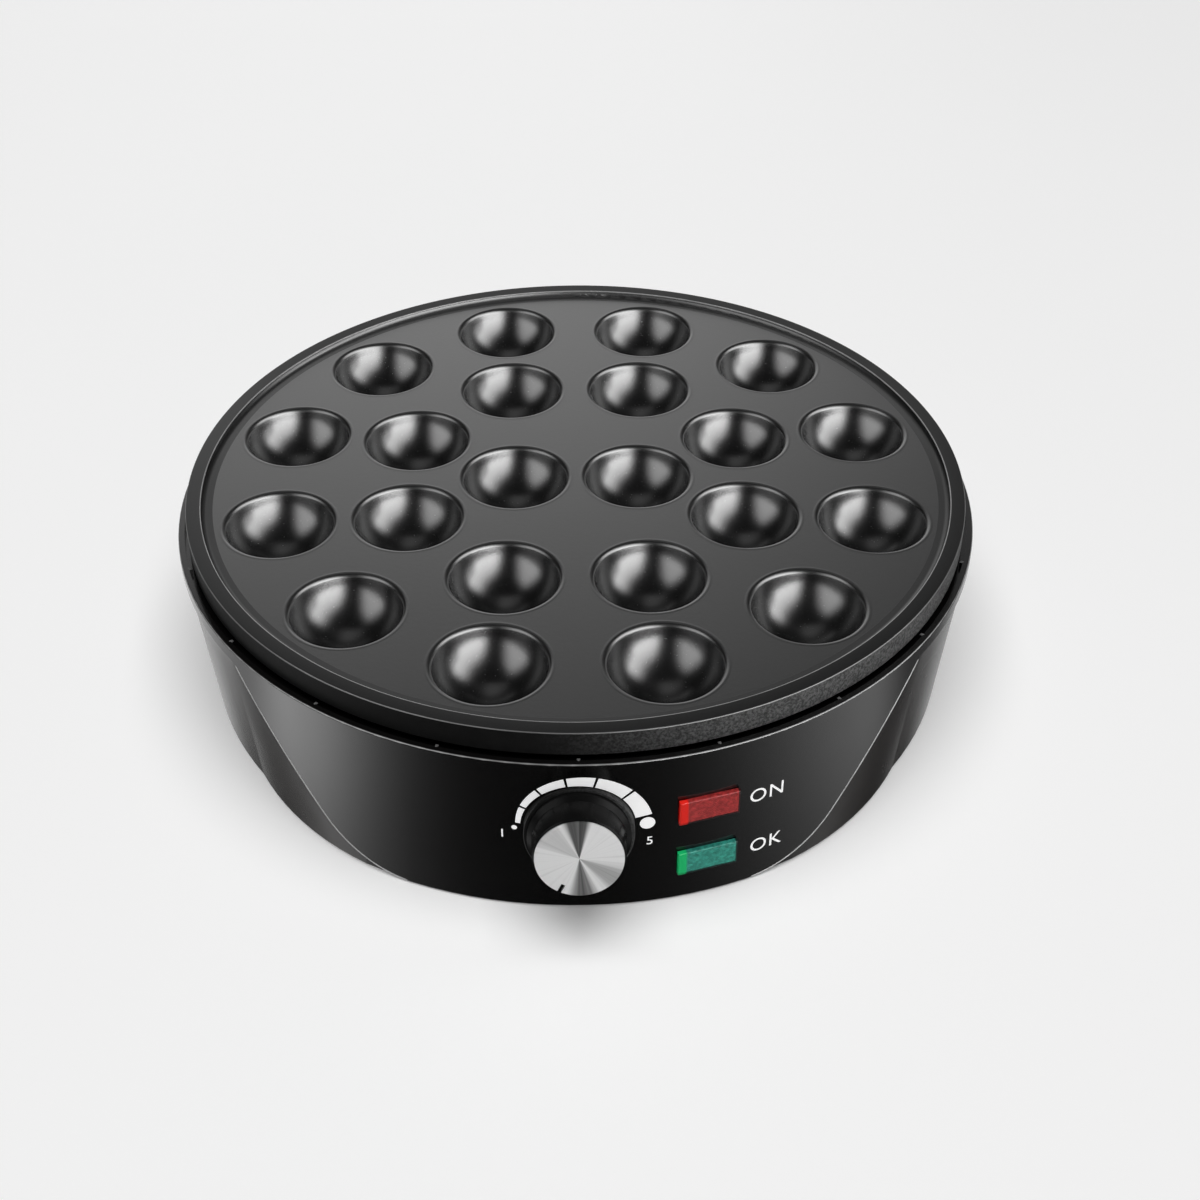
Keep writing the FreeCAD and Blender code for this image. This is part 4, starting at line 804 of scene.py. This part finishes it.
# %% [markdown]
# ## Lamp lenses
#
# Each lens is a translucent moulding. Its face has a fine diamond pattern that scatters the
# light, and its colour carries painted glints, lighter along the diamond lines and in small
# patches. Its left end is left smooth, and there the colour is painted deeper and brighter, a
# painted highlight. The pattern is a relief: two families of sloping lines, worked out in the
# lens's own plane, which is turned with the wall. It stays on the face, off the sides. The lens
# is painted dark where it meets the frame below and at the right, a painted shadow, and its
# lowest edge has a thin light line, a painted highlight.


# %% Lens finishes
LAMP_ANGLE = math.radians(16.5)  # how far round the wall from the front
PITCH = 1.1 * MM  # of the diamonds


def lens_finish(name, deep, paler_tint, height):
    """Diamond relief on the face in two muted colours, with painted glints, shade and a light line.

    Smooth at the left end, where a deeper colour is a painted highlight.
    """
    finish = Finish(name, Specular_IOR_Level=0.15, Emission_Strength=0.05)
    centre = (WALL * math.sin(LAMP_ANGLE), AXIS_Y - WALL * math.cos(LAMP_ANGLE), height)
    along, depth, up = finish.split(finish.moved(offset=centre, turn=(0, 0, -LAMP_ANGLE)))
    one = ((along + up) / PITCH).maths("PINGPONG", 0.5) * 2
    two = ((along - up) / PITCH).maths("PINGPONG", 0.5) * 2
    facet = one.maths("MAXIMUM", two)
    smooth_end = 1 - finish.band(along, -8.3 * MM, -7.3 * MM)
    on_face = finish.band(depth, -0.9 * MM, -1.4 * MM)
    facet = facet * (on_face * finish.band(up.maths("ABSOLUTE"), 4.6 * MM, 4.0 * MM))
    # Painted glints: the face's colour turns lighter along the diamond lines and in small patches.
    sparkle = finish.band(finish.noise(1.3 * MM, detail=4.0, roughness=0.8), 0.38, 0.66)
    face = finish.between(facet * 0.3 + sparkle * 0.6, *paler_tint)
    # Painted highlight: the smooth left end takes a deeper, brighter colour.
    colour = finish.between(smooth_end, face, deep)
    # Painted shadow: the colour turns near black at the right end and along the bottom, by the
    # frame.
    right_end_shadow = finish.band(along, 9.7 * MM, 10.1 * MM)
    shade = finish.band(up, -3.7 * MM, -4.2 * MM).maths("MAXIMUM", right_end_shadow)
    colour = finish.between(shade * (1 - smooth_end * 0.6) * 0.92, colour, grey(0.004))
    # Painted highlight: a thin light grey line along the lowest edge.
    colour = finish.between(finish.band(up, -4.75 * MM, -4.95 * MM) * 0.9, colour, grey(0.10))
    finish.drive(
        Base_Color=colour,
        Roughness=0.30 + facet * 0.12 - smooth_end * 0.12,
        Normal=finish.relief(facet * (1 - smooth_end), 0.10 * MM),
        Emission_Color=colour,
    )
    return finish


dusty_red = (0.18, 0.014, 0.014, 1), (0.62, 0.050, 0.048, 1)
dusty_green = (0.012, 0.12, 0.095, 1), (0.060, 0.50, 0.38, 1)
wear(lens_finish("red_lens", (0.85, 0.02, 0.012, 1), dusty_red, 41.2 * MM), "power_lamp_lens")
wear(lens_finish("green_lens", (0.01, 0.52, 0.16, 1), dusty_green, 17.7 * MM), "ready_lamp_lens")

# %% [markdown]
# ## The table
#
# The table and the backdrop are one pale surface, a grid of 12 by 12 metres. It glows a little,
# as a lit paper sweep does, which softens the shadow under the object. Glossy surfaces don't see
# it: what they mirror from below comes from the surroundings further down.

# %% Pale table
pale = Finish("pale_table", Specular_IOR_Level=0.06, Emission_Color=grey(1.0),
              Emission_Strength=0.18)
cloud = pale.noise(0.4, detail=2.0)
paper = pale.between(cloud, grey(0.80), grey(0.82))
pale.drive(Base_Color=paper, Roughness=0.30 + cloud * 0.04)
REACH, TABLE_GRID = 6.0, 9
lines = np.linspace(-REACH, REACH, TABLE_GRID)
u, v = np.meshgrid(lines, lines, indexing="ij")
table_points = np.stack([u, v, np.zeros_like(u)], axis=-1).reshape(-1, 3)
table_faces = grid_faces(TABLE_GRID, TABLE_GRID)[:, ::-1]
mesh = bpy.data.meshes.new("table")
mesh.from_pydata(table_points.tolist(), [], table_faces.tolist())
mesh.materials.append(pale.material)
table = bpy.data.objects.new("table", mesh)
table.visible_glossy = False
scene.collection.objects.link(table)

# %% [markdown]
# ## What the gloss mirrors
#
# A black glossy object is lit by what it mirrors, so the studio around it matters more than the
# lamp. It is painted into the world by direction alone: x to the right, y away, z up. Each panel
# is a product of soft steps, and diffuse light ignores them all. Upwards there are three: a tall
# panel at the right and one at the left, which every cup mirrors as two bright patches with a
# dark band between, and a dim back wall, which lies on the flat as a broad sheen.

# %% Studio above the table's edge
scene.world = bpy.data.worlds.new("studio")
scene.world.use_nodes = True
scene.world.cycles_visibility.diffuse = False
studio = Graph(scene.world.node_tree, "Generated")
band = studio.band
x, y, z = studio.split(studio.place)

# Right panel: from just right of the front to a little behind the side, weaker low at the side.
right_panel = band(x - y * 0.38, 0.36, 0.72) * band(y, 0.40, 0.0) * band(z, 0.94, 0.62)
right_panel = right_panel * (1 - band(x, 0.85, 0.93) * band(z, 0.43, 0.33) * 0.6)

# Left panel: further round, with a leaning front edge.
left_panel = band(x, -0.26, -0.66) * band(y, 0.15, -0.30) * band(z, 0.05, 0.30)
left_panel = left_panel * band(z, 0.95, 0.72)

# Back wall: brightest low down and a little to the left, with a dim ceiling over it.
lean = (1 - band(x, 0.0, 0.30) * 0.80) * (1 - band(x, -0.12, -0.35) * 0.30)
back_wall = band(y, 0.05, 0.22) * band(x.maths("ABSOLUTE"), 0.62, 0.34)
back_wall = back_wall * (0.13 + band(z, 0.68, 0.52) * 1.20 + band(z, 0.75, 0.90) * 0.30) * lean

# Both side panels are brighter low down than high up.
above = 0.015 + right_panel * (12.0 - z * 11.0) + left_panel * (3.9 - z * 1.5) + back_wall

# %% [markdown]
# ## What the walls mirror
#
# The upright walls mirror what lies lower than the table's edge. There the sides are bright and
# the front is dark, so the panel under the knob stays black and brightens towards its ends. The
# light sinks again towards the rear, more at the right, and fades out straight down. A narrow
# glow low at the front is there for the knob's disc alone, which faces down a little.

# %% Studio below the table's edge
rightwards = band(x, -0.9, 0.9)
valley = band(y, 0.0, 0.3) * (1 - band(y, 0.40, 0.70) * (0.15 + rightwards * 0.35))
side = band(y, -0.86, -0.10) * (1 - valley * (0.40 + rightwards * 0.45))
deep = band(z, -0.42, -0.52)
steeper = side ** (2.4 - rightwards * 1.3) * (2.1 - rightwards * 1.2)
glow = side * (1 - deep) + steeper * deep

# Near straight down it darkens, with a patch left brighter behind and a dark pit before that.
low = 0.25 + band(z, -0.725, -0.655) * 0.75
behind = 1 + band(y, 0.30, 0.66) * 0.25
pit = band(y, -0.02, 0.12) * band(y, 0.60, 0.32) * band(z, -0.675, -0.712)
glow = glow * (1 + (low * behind * (1 - pit * 0.95) - 1) * deep)

# %% The whole studio
front = band(y, -0.78, -0.90) * band(z, -0.60, -0.52) * band(z, -0.32, -0.42)
below = band(z, -0.04, -0.16)
level = above * (1 - below) + (0.01 + glow + front * 1.1) * below
backdrop = scene.world.node_tree.nodes["Background"].inputs
studio.feed(backdrop["Strength"], level)
backdrop["Color"].default_value = grey(1.0)
scene.view_settings.view_transform = "Standard"
print("studio nodes:", len(scene.world.node_tree.nodes))

# %% [markdown]
# ## The lamp overhead
#
# One wide soft lamp hangs high over the table and a little to the front. It lights what is not
# glossy: the table, the ink and the lenses. It is seven metres wide, so the shadow round the foot
# is soft and has no edge. Glossy surfaces don't see it, because the studio gives them theirs.

# %% Overhead lamp
LAMP_SIDE, RADIANCE = 7.0, 4.38
lamp = bpy.data.lights.new("overhead", "AREA")
lamp.shape, lamp.size = "SQUARE", LAMP_SIDE
lamp.energy = RADIANCE * math.pi * LAMP_SIDE**2
overhead = bpy.data.objects.new("overhead", lamp)
overhead.location = (0, -1.6, 7.8)
aim = Vector((0, AXIS_Y, PLATE_TOP)) - overhead.location
overhead.rotation_euler = aim.to_track_quat("-Z", "Y").to_euler()
overhead.visible_glossy = False
scene.collection.objects.link(overhead)
print("lamp:", round(lamp.energy), "W")
